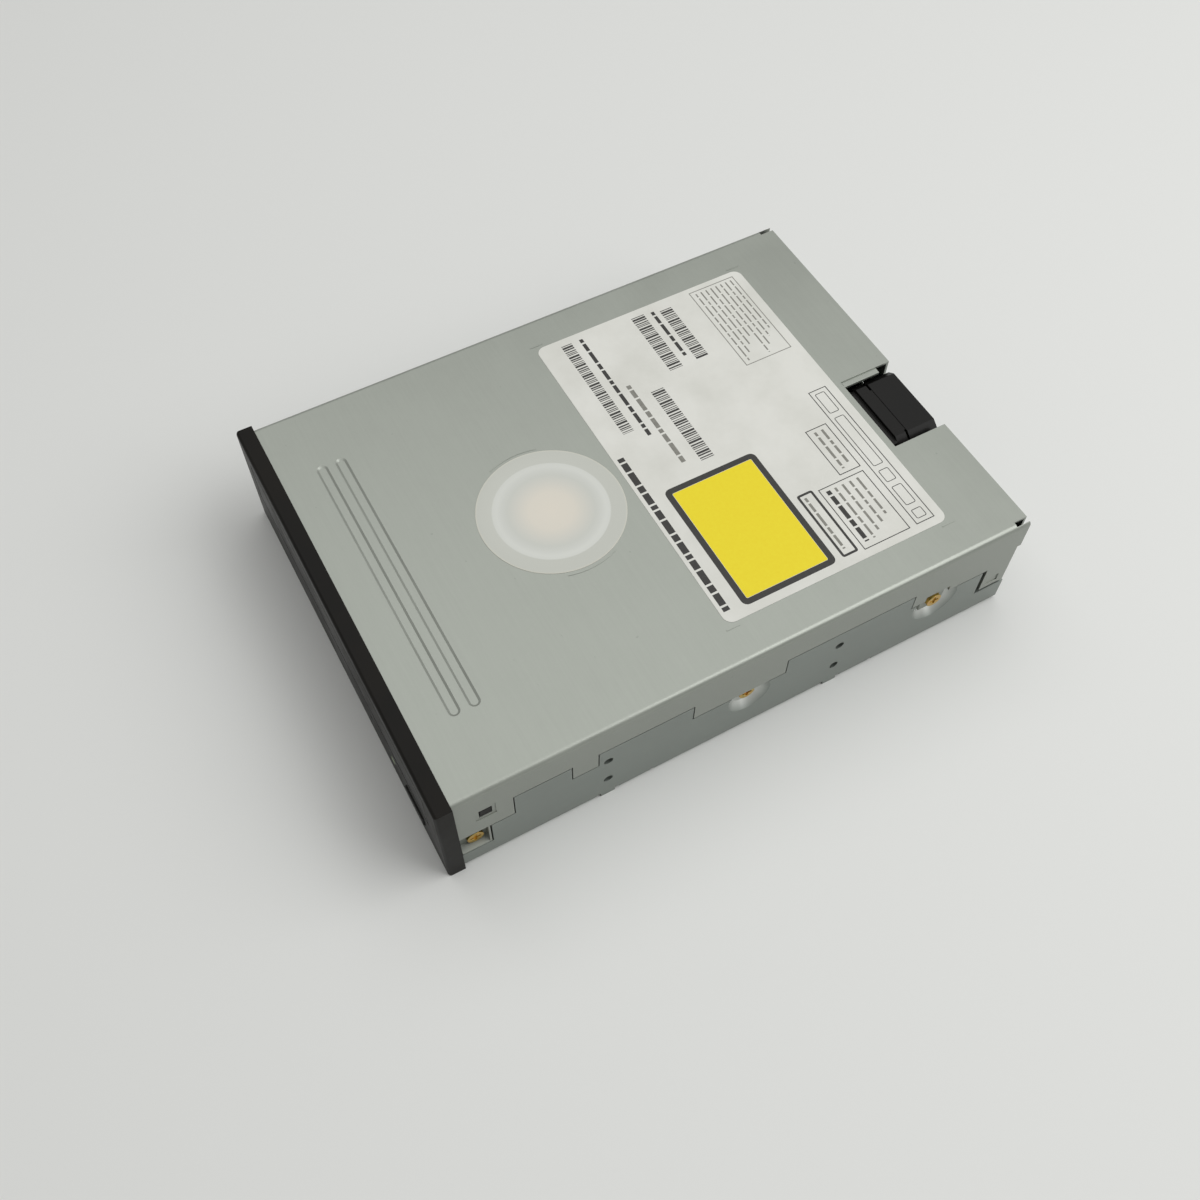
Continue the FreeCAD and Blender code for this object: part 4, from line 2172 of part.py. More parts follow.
def small_connectors():
    side = S.pin_pitch
    columns = int(S.jumper_columns.value)
    mid = board_top + side
    rows = (mid - side / 2, mid + side / 2)
    start = socket_rear - S.jumper_pin_reach - S.jumper_depth
    tip = socket_rear - S.pin_tip_inset
    jumper_pins = pin_grid("jumper_pin", jumper_x, rows, columns,
                           (start - S.pin_tail - side, tip), 1)
    wide = side * columns / 2
    header = block("jumper_block", (jumper_x - wide, jumper_x + wide),
                   (start, start + S.jumper_depth), (board_top, board_top + side * 2))
    contacts = list(jumper_pins)
    shells = []
    audio_mid = board_top + S.audio_height / 2
    for x, width, count in ((audio_x, S.audio_width, int(S.audio_columns.value)),
                            (digital_x, S.digital_width, int(S.digital_columns.value))):
        back = socket_rear - S.audio_depth
        contacts += pin_grid("audio_pin", x, (audio_mid,), count, (back - S.pin_tail, tip), 0)
        wall = S.audio_wall
        shell = block("audio_shell", (x - width / 2, x + width / 2), (back, socket_rear),
                      (board_top, board_top + S.audio_height))
        cavity = block("audio_cavity", (x - width / 2 + wall, x + width / 2 - wall),
                       (back + wall * 2, socket_rear + over),
                       (board_top + wall, board_top + S.audio_height - wall))
        shells.append(cut("audio_hollow", shell, cavity))
    pins = group("header_contacts", contacts)
    publish(pins, "header_pins")
    publish(cut("jumper_body", header, pins), "jumper_header")
    publish(cut("audio_bodies", group("audio_shells", shells), pins), "audio_sockets")
    x = jumper_x - side
    cap_start = start + S.jumper_depth + S.door_gap
    cap_half = (side - S.cap_block_wall * 2) / 2
    cap = block("jumper_cap_block", (x - cap_half, x + cap_half),
                (cap_start, cap_start + S.cap_block_depth),
                (board_top + S.cap_block_wall, board_top + S.cap_block_height - S.cap_block_wall))
    publish(cut("jumper_bridge", cap, pins), "jumper_cap")


# Fan

def fan_box():
    """X, Y and Z spans of the fan's frame."""
    side = S.fan_side
    top = roof - S.fan_drop
    return ((fan_x - side / 2, fan_x + side / 2), (rear - S.fan_depth, rear), (top - side, top))


def fan_shoulders(name, y, top):
    """The sloping shoulders on both sides of the fan's square body."""
    x, _, _ = fan_box()
    pieces = []
    for side, edge, wide in ((1, x[1], S.shoulder_near), (-1, x[0], S.shoulder_far)):
        outer = edge + wide * side
        points = [(edge - S.shoulder_root * side, top - S.shoulder_height),
                  (outer, top - S.shoulder_height), (outer, top - S.shoulder_fall),
                  (outer - S.shoulder_run * side, top), (edge - S.shoulder_root * side, top)]
        if side < 0:
            points.reverse()
        pieces.append(padded(name + "_shoulder", "XZ_Plane", -y[1], y[1] - y[0], points))
    return pieces


def fan_axis():
    x, y, z = fan_box()
    return (x[0] + x[1]) / 2, (z[0] + z[1]) / 2


def fan_parts():
    x, y, z = fan_box()
    cx, cz = fan_axis()
    frame = padded("fan_shell", "XZ_Plane", -y[1], S.fan_depth, corners(x, z))
    round_edges(frame, S.fan_round, lambda edge: runs_along(edge, "Y"))
    frame = fuse("fan_housing", frame, *fan_shoulders("fan", y, z[1]))
    bore = rod("fan_bore", S.fan_bore, (cx, y[0] + S.fan_spider, cz),
               S.fan_depth - S.fan_spider - S.fan_guard, "Y")
    hollow = cut("fan_hollow", frame, bore)
    tools = fan_openings("fan_inlet", y[0] - over, S.fan_spider + over * 2, S.fan_hub_radius)
    tools += fan_openings("fan_outlet", y[1] - S.fan_guard - over, S.fan_guard + over * 2,
                          S.fan_guard_hub)
    axle_start = y[0] + S.fan_spider / 2
    axle_length = S.fan_depth - S.fan_spider - S.fan_guard
    axle = rod("fan_axle", S.fan_axle_radius, (cx, axle_start, cz), axle_length - over, "Y")
    publish(fuse("fan_body", cut("fan_open", hollow, *tools), axle), "fan_frame")
    publish(fan_rotor(cx, cz, y), "fan_rotor")


def fan_openings(name, start, depth, hub):
    """Four ring sectors that leave a hub and four bars across the bore."""
    cx, cz = fan_axis()
    bar = S.fan_guard_bar
    reach = S.fan_bore
    tube = cut(name + "_ring", rod(name + "_out", reach, (cx, start, cz), depth, "Y"),
               rod(name + "_in", hub, (cx, start - over, cz), depth + over * 2, "Y"))
    bars = [block(name + "_bar", (cx - reach, cx + reach), (start - over, start + depth + over),
                  (cz - bar / 2, cz + bar / 2)),
            block(name + "_post", (cx - bar / 2, cx + bar / 2), (start - over, start + depth + over),
                  (cz - reach, cz + reach))]
    return [cut(name + "_sectors", tube, *bars)]


def fan_rotor(cx, cz, y):
    """Hub and pitched blades that turn on the frame's axle."""
    gap = S.fan_blade_gap
    start = y[0] + S.fan_spider + gap
    end = y[1] - S.fan_guard - gap
    length = end - start
    hub = rod("fan_hub", S.fan_hub_radius, (cx, start, cz), length, "Y")
    blades = []
    count = int(S.fan_blades.value)
    tip = (S.fan_bore - gap).value
    root = S.fan_blade_root.value
    pitch = math.radians(S.fan_blade_angle.value)
    chord = (length - S.fan_blade_trim).value / math.cos(pitch)
    thick = S.fan_blade_thickness.value
    for index in range(count):
        blade = Part.makeBox(thick, chord, tip - root,
                             FreeCAD.Vector(-thick / 2, -chord / 2, root))
        blade.rotate(FreeCAD.Vector(), FreeCAD.Vector(0, 0, 1), -S.fan_blade_angle.value)
        blade.rotate(FreeCAD.Vector(), FreeCAD.Vector(0, 1, 0), 360.0 * index / count)
        blade.translate(FreeCAD.Vector(cx.value, ((start + end) / 2).value, cz.value))
        blades.append(shaped("fan_blade", blade))
    keep = rod("fan_sweep", S.fan_bore - gap, (cx, start, cz), length, "Y")
    bladed = common("fan_trim", fuse("fan_bladed", hub, *blades), keep)
    bore = rod("fan_hub_bore", S.fan_axle_radius + S.fan_axle_gap, (cx, start - over, cz),
               length + over * 2, "Y")
    return cut("fan_wheel", bladed, bore)


def fan_duct():
    """The shroud in front of the fan and the plate that stands on the board."""
    x, y, z = fan_box()
    cx, cz = fan_axis()
    hood_end = y[0] - S.duct_slit
    hood_start = hood_end - S.duct_depth
    hood = block("duct_hood", x, (hood_start, hood_end), (z[0], z[1] - S.duct_drop))
    inset = S.fan_guard
    neck = block("duct_neck", (x[0] + inset, x[1] - inset), (hood_end, y[0]),
                 (z[0] + inset, z[1] - S.duct_drop))
    sides = fan_shoulders("duct", (hood_start, hood_end), z[1] - S.duct_drop)
    margin = S.duct_plate_margin
    plate = block("duct_plate", (x[0] - margin, x[1] + margin),
                  (hood_start - S.duct_plate, hood_start),
                  (board_top, z[1] - S.duct_plate_drop))
    tools = [rod("duct_bore", S.fan_bore - inset, (cx, hood_start - S.duct_plate - over, cz),
                 S.duct_plate + S.duct_depth + S.duct_slit + over * 2, "Y")]
    publish(cut("duct", fuse("duct_solid", hood, neck, plate, *sides), *tools), "fan_duct")


# Screws

def casing_screws():
    """Six brass screws with the heads outward in the side walls."""
    screws = []
    depth = S.casing_screw_length
    clamped = (S.cover_gauge, S.case_gauge, S.case_gauge + S.cover_gauge)
    for side in SIDES:
        for sheets, (y, z) in zip(clamped, chassis_screw_places()):
            sheet_face = chassis_half + sheets
            shank_x = sheet_face - depth if side > 0 else -sheet_face
            head_x = sheet_face if side > 0 else -sheet_face - S.casing_head_height
            shank = rod("casing_shank", S.casing_screw_radius, (shank_x, y, z), depth, "X")
            head = rod("casing_head", S.casing_head_radius, (head_x, y, z),
                       S.casing_head_height, "X")
            slot_x = side_span(side, sheet_face + S.casing_head_height - S.recess_depth,
                               sheet_face + S.casing_head_height + over)
            arm = S.recess_reach
            thin = S.recess_width / 2
            cross = [block("recess", slot_x, (y - arm, y + arm), (z - thin, z + thin)),
                     block("recess", slot_x, (y - thin, y + thin), (z - arm, z + arm))]
            screws.append(cut("casing_screw", fuse("casing_screw_solid", shank, head), *cross))
    publish(group("casing_bolts", screws), "casing_screws")


def inner_screws():
    """Ten identical screws: bridge, loading motor and main board."""
    seats = [(x, y, S.bridge_height + S.bridge_gauge) for x, y in bridge_screw_places()]
    seat = S.motor_seat_height + S.motor_seat_plate
    seats += [(x, y, seat) for x, y in motor_screw_places()]
    seats += [(x, y, board_top) for x, y in board_screw_places()]
    screws = []
    for x, y, z in seats:
        shank = rod("small_shank", S.screw_radius, (x, y, z - S.screw_length), S.screw_length)
        head = rod("small_head", S.screw_head_radius, (x, y, z), S.screw_head_height)
        screws.append(fuse("small_screw", shank, head))
    publish(group("small_screws", screws), "inner_screws")


def front_flex():
    """The flat cable from the front board, along the case floor, to the main board."""
    thick = S.flex_thickness
    board_face = front
    clear = S.bezel_wall + thick
    drop_y = front + S.front_board_thickness + thick
    floor_z = inside_floor
    board_edge = front + S.board_front - S.seam_gap * 2
    socket_y = front + S.board_front + S.flex_socket_length
    climb = board_edge - S.flex_socket_length
    top = board_top + thick
    high = S.button_z - S.switch_height / 2 - S.seam_gap / 2
    points = [(board_face - thick, high), (board_face, high), (board_face, clear + thick),
              (drop_y + thick, clear + thick), (drop_y + thick, floor_z + thick),
              (climb, floor_z + thick), (board_edge, top + thick), (socket_y, top + thick),
              (socket_y, top), (board_edge, top), (climb, floor_z), (drop_y, floor_z),
              (drop_y, clear), (board_face - thick, clear)]
    x = half - S.front_flex_inset
    width = S.front_flex_width
    publish(padded("front_cable", "YZ_Plane", x - width / 2, width, points), "front_flex")


# The whole drive
bottom_case()
top_cover()
cover_sheets()
front_bezel()
tray_door()
eject_parts()
light_parts()
main_chassis()
tray_gear()
pulley_parts()
drive_belt()
loading_motor()
disc_tray()
cam_slider()
clamp_bridge()
clamper_parts()
traverse_holder()
traverse_frame()
damper_parts()
guide_rods()
feed_parts()
disc_motor()
pickup_parts()
lens_parts()
feed_nut()
pickup_cable()
main_board()
ide_parts()
power_parts()
small_connectors()
fan_parts()
fan_duct()
casing_screws()
inner_screws()
front_flex()
doc.recompute()

faulty = [item.Name for item in doc.Objects if "Invalid" in item.State or "Error" in item.State]
for item in PARTS:
    if item.Shape.isNull() or not item.Shape.isValid() or not item.Shape.Solids:
        faulty.append(item.Label)
if faulty:
    raise RuntimeError("failed: " + ", ".join(faulty))

os.makedirs("parts", exist_ok=True)
for item in PARTS:
    item.Shape.exportStep(os.path.join("parts", item.Label + ".step"))
print(len(PARTS), "sub-parts written")
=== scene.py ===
"""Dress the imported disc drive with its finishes, printed sheets and small rounded edges.

The drive lies on a pale table, its bezel towards -Y and its connectors towards +Y. Every
length here is in metres, and sizes that are easier to read in millimetres go through mm().
"""

import json
import logging
import math
from abc import ABC, abstractmethod
from dataclasses import dataclass, field
from enum import Enum
from typing import Any, Sequence

import bmesh
import bpy
from mathutils import Matrix, Vector


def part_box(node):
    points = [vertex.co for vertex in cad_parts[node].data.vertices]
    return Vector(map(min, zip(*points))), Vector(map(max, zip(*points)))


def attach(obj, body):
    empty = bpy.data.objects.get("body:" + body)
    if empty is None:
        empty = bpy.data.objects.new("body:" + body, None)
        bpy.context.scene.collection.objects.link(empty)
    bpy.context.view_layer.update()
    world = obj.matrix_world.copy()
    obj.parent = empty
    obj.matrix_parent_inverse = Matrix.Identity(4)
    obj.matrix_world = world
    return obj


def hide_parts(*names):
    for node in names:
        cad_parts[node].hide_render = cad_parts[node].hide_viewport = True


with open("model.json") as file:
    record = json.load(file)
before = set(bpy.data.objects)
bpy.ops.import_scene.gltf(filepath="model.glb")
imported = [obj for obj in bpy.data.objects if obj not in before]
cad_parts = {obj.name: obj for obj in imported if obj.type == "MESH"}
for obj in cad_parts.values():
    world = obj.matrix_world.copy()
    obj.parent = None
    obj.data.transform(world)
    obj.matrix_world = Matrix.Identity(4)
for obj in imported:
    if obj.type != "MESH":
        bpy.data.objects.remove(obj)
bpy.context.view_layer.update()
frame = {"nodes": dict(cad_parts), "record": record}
LOG = logging.getLogger("drive")
ROOT_BODY = "casing"
MATERIALS: dict[str, bpy.types.Material] = {}

Point = tuple[float, float, float]
Rect = tuple[float, float, float, float]
Rgba = tuple[float, float, float, float]
Span = tuple[float, float]

# A pattern that isn't drawn out along any axis.
EVEN: Point = (1.0, 1.0, 1.0)
# Corners of a mesh that lie closer than this are one corner, in millimetres.
WELD_MM = 0.002
LATHE_WELD_MM = 0.001
# Faces that meet at less than this are one flat face, in degrees.
FLAT_DEGREES = 0.6
# Edges where faces meet at more than this are rounded, in degrees, with this many steps.
EASED_DEGREES = 38.0
EASE_STEPS = 2
# How much large faces lead the shading of a rounded edge, of 100.
FACE_LEAD = 100
# Faces that meet at more than these keep a sharp line between them, in degrees.
EASED_CREASE = 24.0
CARRIED_CREASE = 40.0
LATHE_CREASE = 30.0
# Inner corner of a ruled frame whose line is wider than its outer corner, as a share of that.
INNER_CORNER = 0.25


def mm(length: float) -> float:
    """Millimetres in metres."""
    return length * 0.001


def per_mm(size: float) -> float:
    """The scale of a texture whose features are about this many millimetres across."""
    return 1.0 / mm(size)


def colour(text: str) -> Rgba:
    """Turn an sRGB hex colour such as "#A0A59B" into linear red, green, blue and alpha."""
    parts = [int(text[i:i + 2], 16) / 255 for i in (1, 3, 5)]
    linear = [p / 12.92 if p <= 0.04045 else ((p + 0.055) / 1.055) ** 2.4 for p in parts]
    return linear[0], linear[1], linear[2], 1.0


def grey(level: float) -> Rgba:
    """A linear grey."""
    return level, level, level, 1.0


def feed(tree: bpy.types.NodeTree, node: bpy.types.Node, **inputs: Any) -> None:
    """Give a node's inputs their values or links.

    Args:
        tree: Node tree of the node.
        node: Node whose inputs are filled.
        **inputs: Values or output sockets for its inputs; an underscore stands for a space,
            and a trailing number picks one of several inputs by its place.
    """
    for name, value in inputs.items():
        place = name.rsplit("_", 1)[-1]
        socket = node.inputs[int(place)] if place.isdigit() else node.inputs[name.replace("_", " ")]
        if isinstance(value, bpy.types.NodeSocket):
            tree.links.new(value, socket)
        else:
            socket.default_value = value


def add_node(tree: bpy.types.NodeTree, kind: str, settings: dict[str, Any] | None = None,
             **inputs: Any) -> bpy.types.Node:
    """Add a node with its settings, values and links.

    Args:
        tree: Node tree that gets the node.
        kind: Node type, such as "ShaderNodeTexNoise".
        settings: Properties of the node; "stops" holds a colour ramp's places and colours.
        **inputs: Values or output sockets for its inputs, named as feed() takes them.

    Returns:
        The new node.
    """
    node = tree.nodes.new(kind)
    settings = dict(settings or {})
    stops = settings.pop("stops", ())
    for name, value in settings.items():
        setattr(node, name, value)
    if stops:
        elements = node.color_ramp.elements
        while len(elements) < len(stops):
            elements.new(1.0)
        for element, (place, tone) in zip(elements, stops):
            element.position = place
            element.color = tone
    feed(tree, node, **inputs)
    return node


class Pattern(ABC):
    """A texture of one real size over the surface of a part."""

    @abstractmethod
    def factor(self, tree: bpy.types.NodeTree,
               place: bpy.types.NodeSocket) -> bpy.types.NodeSocket:
        """The pattern as a factor.

        Args:
            tree: Node tree of the material.
            place: Object coordinates, in metres of the row frame.

        Returns:
            A socket that runs from 0 to 1.
        """


@dataclass(frozen=True)
class Noise(Pattern):
    """Blotches or grain of one size, drawn out where rolling or brushing left lines."""

    size_mm: float
    detail: float = 4.0
    rough: float = 0.55
    stretch: Point = EVEN

    def factor(self, tree: bpy.types.NodeTree,
               place: bpy.types.NodeSocket) -> bpy.types.NodeSocket:
        """Noise over the stretched coordinates."""
        if self.stretch != EVEN:
            drawn = add_node(tree, "ShaderNodeMapping", Vector=place, Scale=self.stretch)
            place = drawn.outputs["Vector"]
        noise = add_node(tree, "ShaderNodeTexNoise", Vector=place, Scale=per_mm(self.size_mm),
                         Detail=self.detail, Roughness=self.rough)
        return noise.outputs["Fac"]


@dataclass(frozen=True)
class Tracks(Pattern):
    """Straight runs between blocks, as copper tracks lie on a board."""

    block_mm: float = 6.0
    shift: float = 0.37
    width: float = 0.05
    infill: float = 0.6

    def factor(self, tree: bpy.types.NodeTree,
               place: bpy.types.NodeSocket) -> bpy.types.NodeSocket:
        """Bricks whose joints are the tracks."""
        bricks = add_node(tree, "ShaderNodeTexBrick", {"offset": self.shift}, Vector=place,
                          Color1=grey(0.0), Color2=grey(self.infill), Mortar=grey(1.0),
                          Scale=per_mm(self.block_mm), Mortar_Size=self.width)
        return bricks.outputs["Color"]


@dataclass(frozen=True)
class Conductors(Pattern):
    """Parallel conductors of a flat cable, drawn about 3 mm apart so that they show."""

    three_bands_mm: float = 10.0

    def factor(self, tree: bpy.types.NodeTree,
               place: bpy.types.NodeSocket) -> bpy.types.NodeSocket:
        """Straight bands across X."""
        bands = add_node(tree, "ShaderNodeTexWave", {"bands_direction": "X"}, Vector=place,
                         Scale=per_mm(self.three_bands_mm), Distortion=0.0)
        return bands.outputs["Fac"]


@dataclass(frozen=True)
class Rings(Pattern):
    """Distance from a centre as a share of a radius, for round zones."""

    centre: Point
    radius: float

    def factor(self, tree: bpy.types.NodeTree,
               place: bpy.types.NodeSocket) -> bpy.types.NodeSocket:
        """Distance over radius."""
        away = add_node(tree, "ShaderNodeVectorMath", {"operation": "DISTANCE"},
                        a_0=place, b_1=self.centre)
        share = add_node(tree, "ShaderNodeMath", {"operation": "DIVIDE"},
                         a_0=away.outputs["Value"], b_1=self.radius)
        return share.outputs[0]


@dataclass(frozen=True)
class Finish:
    """A surface finish: blotches of colour over a fine relief, built as one material.

    Attributes:
        name: Name of the material.
        blotch: Pattern of the colour.
        tones: Colours over that pattern.
        levels: Places on that pattern where each colour stands.
        grain: Pattern of the relief, if there is one.
        depth_mm: Height of the relief.
        relief: How strongly the relief turns the light.
        roughness: Middle roughness.
        swing: How far the roughness falls and rises.
        swing_levels: Places on the pattern where it has fallen and risen.
        swing_by_grain: Whether the roughness follows the grain and not the blotches.
        metallic: How metallic the skin is.
    """

    name: str
    blotch: Pattern
    tones: tuple[str, ...]
    levels: tuple[float, ...]
    grain: Pattern | None = None
    depth_mm: float = 0.01
    relief: float = 1.0
    roughness: float = 0.5
    swing: Span = (0.0, 0.0)
    swing_levels: Span = (0.3, 0.7)
    swing_by_grain: bool = False
    metallic: float = 0.0

    def material(self) -> bpy.types.Material:
        """The finish's material, made once."""
        if self.name in MATERIALS:
            return MATERIALS[self.name]
        made = bpy.data.materials.new(self.name)
        MATERIALS[self.name] = made
        made.use_nodes = True
        tree = made.node_tree
        tree.nodes.clear()
        shader = add_node(tree, "ShaderNodeBsdfPrincipled")
        add_node(tree, "ShaderNodeOutputMaterial", Surface=shader.outputs["BSDF"])
        place = add_node(tree, "ShaderNodeTexCoord").outputs["Object"]
        blotch = self.blotch.factor(tree, place)
        grain = None if self.grain is None else self.grain.factor(tree, place)
        feed(tree, shader, Base_Color=self.skin(tree, place, blotch, grain),
             Roughness=self.sheen(tree, grain if self.swing_by_grain else blotch),
             Metallic=self.metallic, **self.extras())
        if grain is not None:
            bump = add_node(tree, "ShaderNodeBump", Height=grain, Distance=mm(self.depth_mm),
                            Strength=self.relief)
            feed(tree, shader, Normal=bump.outputs["Normal"])
        return made

    def skin(self, tree: bpy.types.NodeTree, place: bpy.types.NodeSocket,
             blotch: bpy.types.NodeSocket,
             grain: bpy.types.NodeSocket | None) -> bpy.types.NodeSocket:
        """The colour of the surface.

        Args:
            tree: Node tree of the material.
            place: Object coordinates, in metres of the row frame.
            blotch: The colour's pattern.
            grain: The relief's pattern.

        Returns:
            The tones spread over the blotches.
        """
        stops = list(zip(self.levels, map(colour, self.tones)))
        return add_node(tree, "ShaderNodeValToRGB", {"stops": stops}, Fac=blotch).outputs["Color"]

    def sheen(self, tree: bpy.types.NodeTree,
              pattern: bpy.types.NodeSocket) -> bpy.types.NodeSocket | float:
        """The roughness, which swings over a pattern or is even."""
        fall, rise = self.swing
        if not fall and not rise:
            return self.roughness
        low, high = self.swing_levels
        swung = add_node(tree, "ShaderNodeMapRange", Value=pattern, From_Min=low, From_Max=high,
                         To_Min=self.roughness - fall, To_Max=self.roughness + rise)
        return swung.outputs[0]

    def extras(self) -> dict[str, float]:
        """Other inputs of the shader that the finish sets."""
        return {}


@dataclass(frozen=True)
class ZincSheet(Finish):
    """Electrogalvanised steel sheet: a matt grey-green zinc skin over rolled steel.

    The eye sees an even satin grey with faint cloudy staining, fine rolling lines along the
    coil, and a few darker specks where it has been handled.
    """

    blotch: Pattern = Noise(26.0, 5.0, 0.6)
    tones: tuple[str, ...] = ("#939790", "#9A9E97")
    levels: tuple[float, ...] = (0.32, 0.7)
    grain: Pattern = Noise(0.7, 6.0, 0.7, (0.03, 1.0, 1.0))
    depth_mm: float = 0.003
    relief: float = 0.35
    roughness: float = 0.38
    swing: Span = (0.06, 0.08)
    swing_levels: Span = (0.3, 0.75)
    metallic: float = 0.6
    specks: Pattern = Noise(2.6, 2.0, 0.4)
    speck: str = "#7B817A"
    speck_levels: Span = (0.755, 0.79)
    speck_cover: float = 0.4
    line_cover: float = 0.05

    def skin(self, tree: bpy.types.NodeTree, place: bpy.types.NodeSocket,
             blotch: bpy.types.NodeSocket,
             grain: bpy.types.NodeSocket | None) -> bpy.types.NodeSocket:
        """Cloudy zinc with handling specks and the colour of the rolling lines."""
        clouds = super().skin(tree, place, blotch, grain)
        start, full = self.speck_levels
        mask = add_node(tree, "ShaderNodeValToRGB",
                        {"stops": ((start, grey(0.0)), (full, grey(self.speck_cover)))},
                        Fac=self.specks.factor(tree, place))
        marked = add_node(tree, "ShaderNodeMix", {"data_type": "RGBA"},
                          Factor=mask.outputs["Color"], A_6=clouds, B_7=colour(self.speck))
        lined = add_node(tree, "ShaderNodeMix", {"data_type": "RGBA", "blend_type": "OVERLAY"},
                         Factor=self.line_cover, A_6=marked.outputs[2], B_7=grain)
        return lined.outputs[2]


@dataclass(frozen=True)
class PressedZinc(ZincSheet):
    """Zinc sheet with pressed dishes: painted shade over the side walls and a painted highlight in
    each dish.

    Its tones are darker than the cover's zinc as painted shade, for side walls that get less light,
    and each screw dish is painted paler all over as a painted highlight. Each dish is given
    by the Y, Z and rim radius of its round.
    """

    # Darker than the cover's tones: painted shade for the side walls, which are the same zinc.
    tones: tuple[str, ...] = ("#828883", "#8C928D")
    dishes: tuple[Point, ...] = ()
    soft: float = mm(2.2)
    cover: float = 0.7
    # Near-white colour of the painted highlight in each screw dish.
    painted_highlight: str = "#E6E8E5"

    def skin(self, tree: bpy.types.NodeTree, place: bpy.types.NodeSocket,
             blotch: bpy.types.NodeSocket,
             grain: bpy.types.NodeSocket | None) -> bpy.types.NodeSocket:
        """Zinc skin with a pale painted highlight laid over each dish."""
        base = super().skin(tree, place, blotch, grain)
        flat = add_node(tree, "ShaderNodeVectorMath", {"operation": "MULTIPLY"},
                        a_0=place, b_1=(0.0, 1.0, 1.0)).outputs[0]
        # Paint each dish paler inside its rim, as a painted highlight that fades out at the rim.
        for y, z, rim in self.dishes:
            reach = add_node(tree, "ShaderNodeVectorMath", {"operation": "DISTANCE"},
                             a_0=flat, b_1=(0.0, y, z))
            mask = add_node(tree, "ShaderNodeMapRange", Value=reach.outputs["Value"],
                            From_Min=rim - self.soft, From_Max=rim, To_Min=self.cover, To_Max=0.0)
            base = add_node(tree, "ShaderNodeMix", {"data_type": "RGBA"}, Factor=mask.outputs[0],
                            A_6=base, B_7=colour(self.painted_highlight)).outputs[2]
        return base


@dataclass(frozen=True)
class MouldedPlastic(Finish):
    """Injection-moulded ABS with a spark-eroded grain.

    The eye sees it dull in the hollows of the grain, with a slight handling sheen in patches.
    """

    blotch: Pattern = Noise(18.0, 4.0, 0.6)
    tones: tuple[str, ...] = ("#1E1D1B", "#2C2A27")
    levels: tuple[float, ...] = (0.35, 0.8)
    grain: Pattern = Noise(0.35, 3.0, 0.6)
    depth_mm: float = 0.012
    swing: Span = (0.08, 0.06)
    specular: float = 0.5

    def extras(self) -> dict[str, float]:
        """How much it mirrors face on."""
        return {"Specular_IOR_Level": self.specular}


@dataclass(frozen=True)
class Resin(Finish):
    """Natural acetal or nylon: a slightly waxy pale plastic that light enters a little."""

    blotch: Pattern = Noise(5.0, 3.0, 0.5, (1.0, 0.4, 1.6))
    tones: tuple[str, ...] = ("#CDC9BB", "#DAD7CC")
    levels: tuple[float, ...] = (0.3, 0.7)
    grain: Pattern = Noise(0.5, 2.0)
    depth_mm: float = 0.004
    roughness: float = 0.38
    glow: float = 0.08
    glow_mm: float = 0.6

    def extras(self) -> dict[str, float]:
        """The faint glow under the skin."""
        return {"Subsurface_Weight": self.glow, "Subsurface_Scale": mm(self.glow_mm)}


@dataclass(frozen=True)
class Metal(Finish):
    """Bare or plated metal part: turned, drawn or cast.

    Turned and drawn parts show fine lines, cast ones a sandy skin; the colour of the plating
    shifts a little over the surface.
    """

    blotch: Pattern = Noise(3.0, 4.0, 0.6)
    tones: tuple[str, ...] = ("#AEAEAB", "#C4C4C0")
    levels: tuple[float, ...] = (0.3, 0.7)
    grain: Pattern = Noise(0.25, 4.0, 0.65)
    depth_mm: float = 0.004
    roughness: float = 0.28
    swing: Span = (0.07, 0.09)
    swing_levels: Span = (0.25, 0.75)
    swing_by_grain: bool = True
    metallic: float = 1.0


@dataclass(frozen=True)
class Chromate(Finish):
    """Yellow chromated zinc on a steel screw: gold with green and pink bloom."""

    blotch: Pattern = Noise(1.3, 3.0, 0.6)
    tones: tuple[str, ...] = ("#A9A45C", "#C7A252", "#C7A252", "#C98F6A")
    levels: tuple[float, ...] = (0.32, 0.48, 0.6, 0.74)
    grain: Pattern = Noise(0.3, 3.0)
    depth_mm: float = 0.006
    roughness: float = 0.3
    metallic: float = 1.0


@dataclass(frozen=True)
class PrintedPaper(Finish):
    """Coated label paper: near white, a little warm, with faint fibres and slow stains."""

    blotch: Pattern = Noise(22.0, 4.0, 0.6)
    tones: tuple[str, ...] = ("#D2D2CB", "#DDDDD7")
    levels: tuple[float, ...] = (0.3, 0.6)
    grain: Pattern = Noise(0.8, 5.0, 0.7)
    depth_mm: float = 0.006
    relief: float = 0.6
    roughness: float = 0.46


@dataclass(frozen=True)
class Ink(Finish):
    """Offset ink on coated paper: satin, slightly uneven where the paper drinks it."""

    blotch: Pattern = Noise(1.2, 4.0, 0.7)
    tones: tuple[str, ...] = ("#33322F", "#454440")
    levels: tuple[float, ...] = (0.35, 0.75)


@dataclass(frozen=True)
class SealFilm(Finish):
    """Milky polyester film: grey where it sticks to steel, whiter over the ring, warm inside.

    The zones are rings round the seal's centre, because the film lies on steel outside and
    hangs over the pale clamper in the middle.
    """

    tones: tuple[str, ...] = ("#D9D3C6", "#D6D1C5", "#C9C9C1", "#C4C6BF", "#C9CBC5",
                              "#CFD1CB", "#CDCFC9", "#BFC1B9", "#BDBFB7", "#C9C8BC")
    levels: tuple[float, ...] = (0.0, 0.3, 0.5, 0.58, 0.66, 0.72, 0.775, 0.79, 0.975, 1.0)
    grain: Pattern = Noise(3.0, 3.0, 0.5)
    depth_mm: float = 0.008
    relief: float = 0.5
    roughness: float = 0.34
    coat: float = 0.2
    coat_roughness: float = 0.25

    def extras(self) -> dict[str, float]:
        """The gloss of the film over its milky body."""
        return {"Coat_Weight": self.coat, "Coat_Roughness": self.coat_roughness}


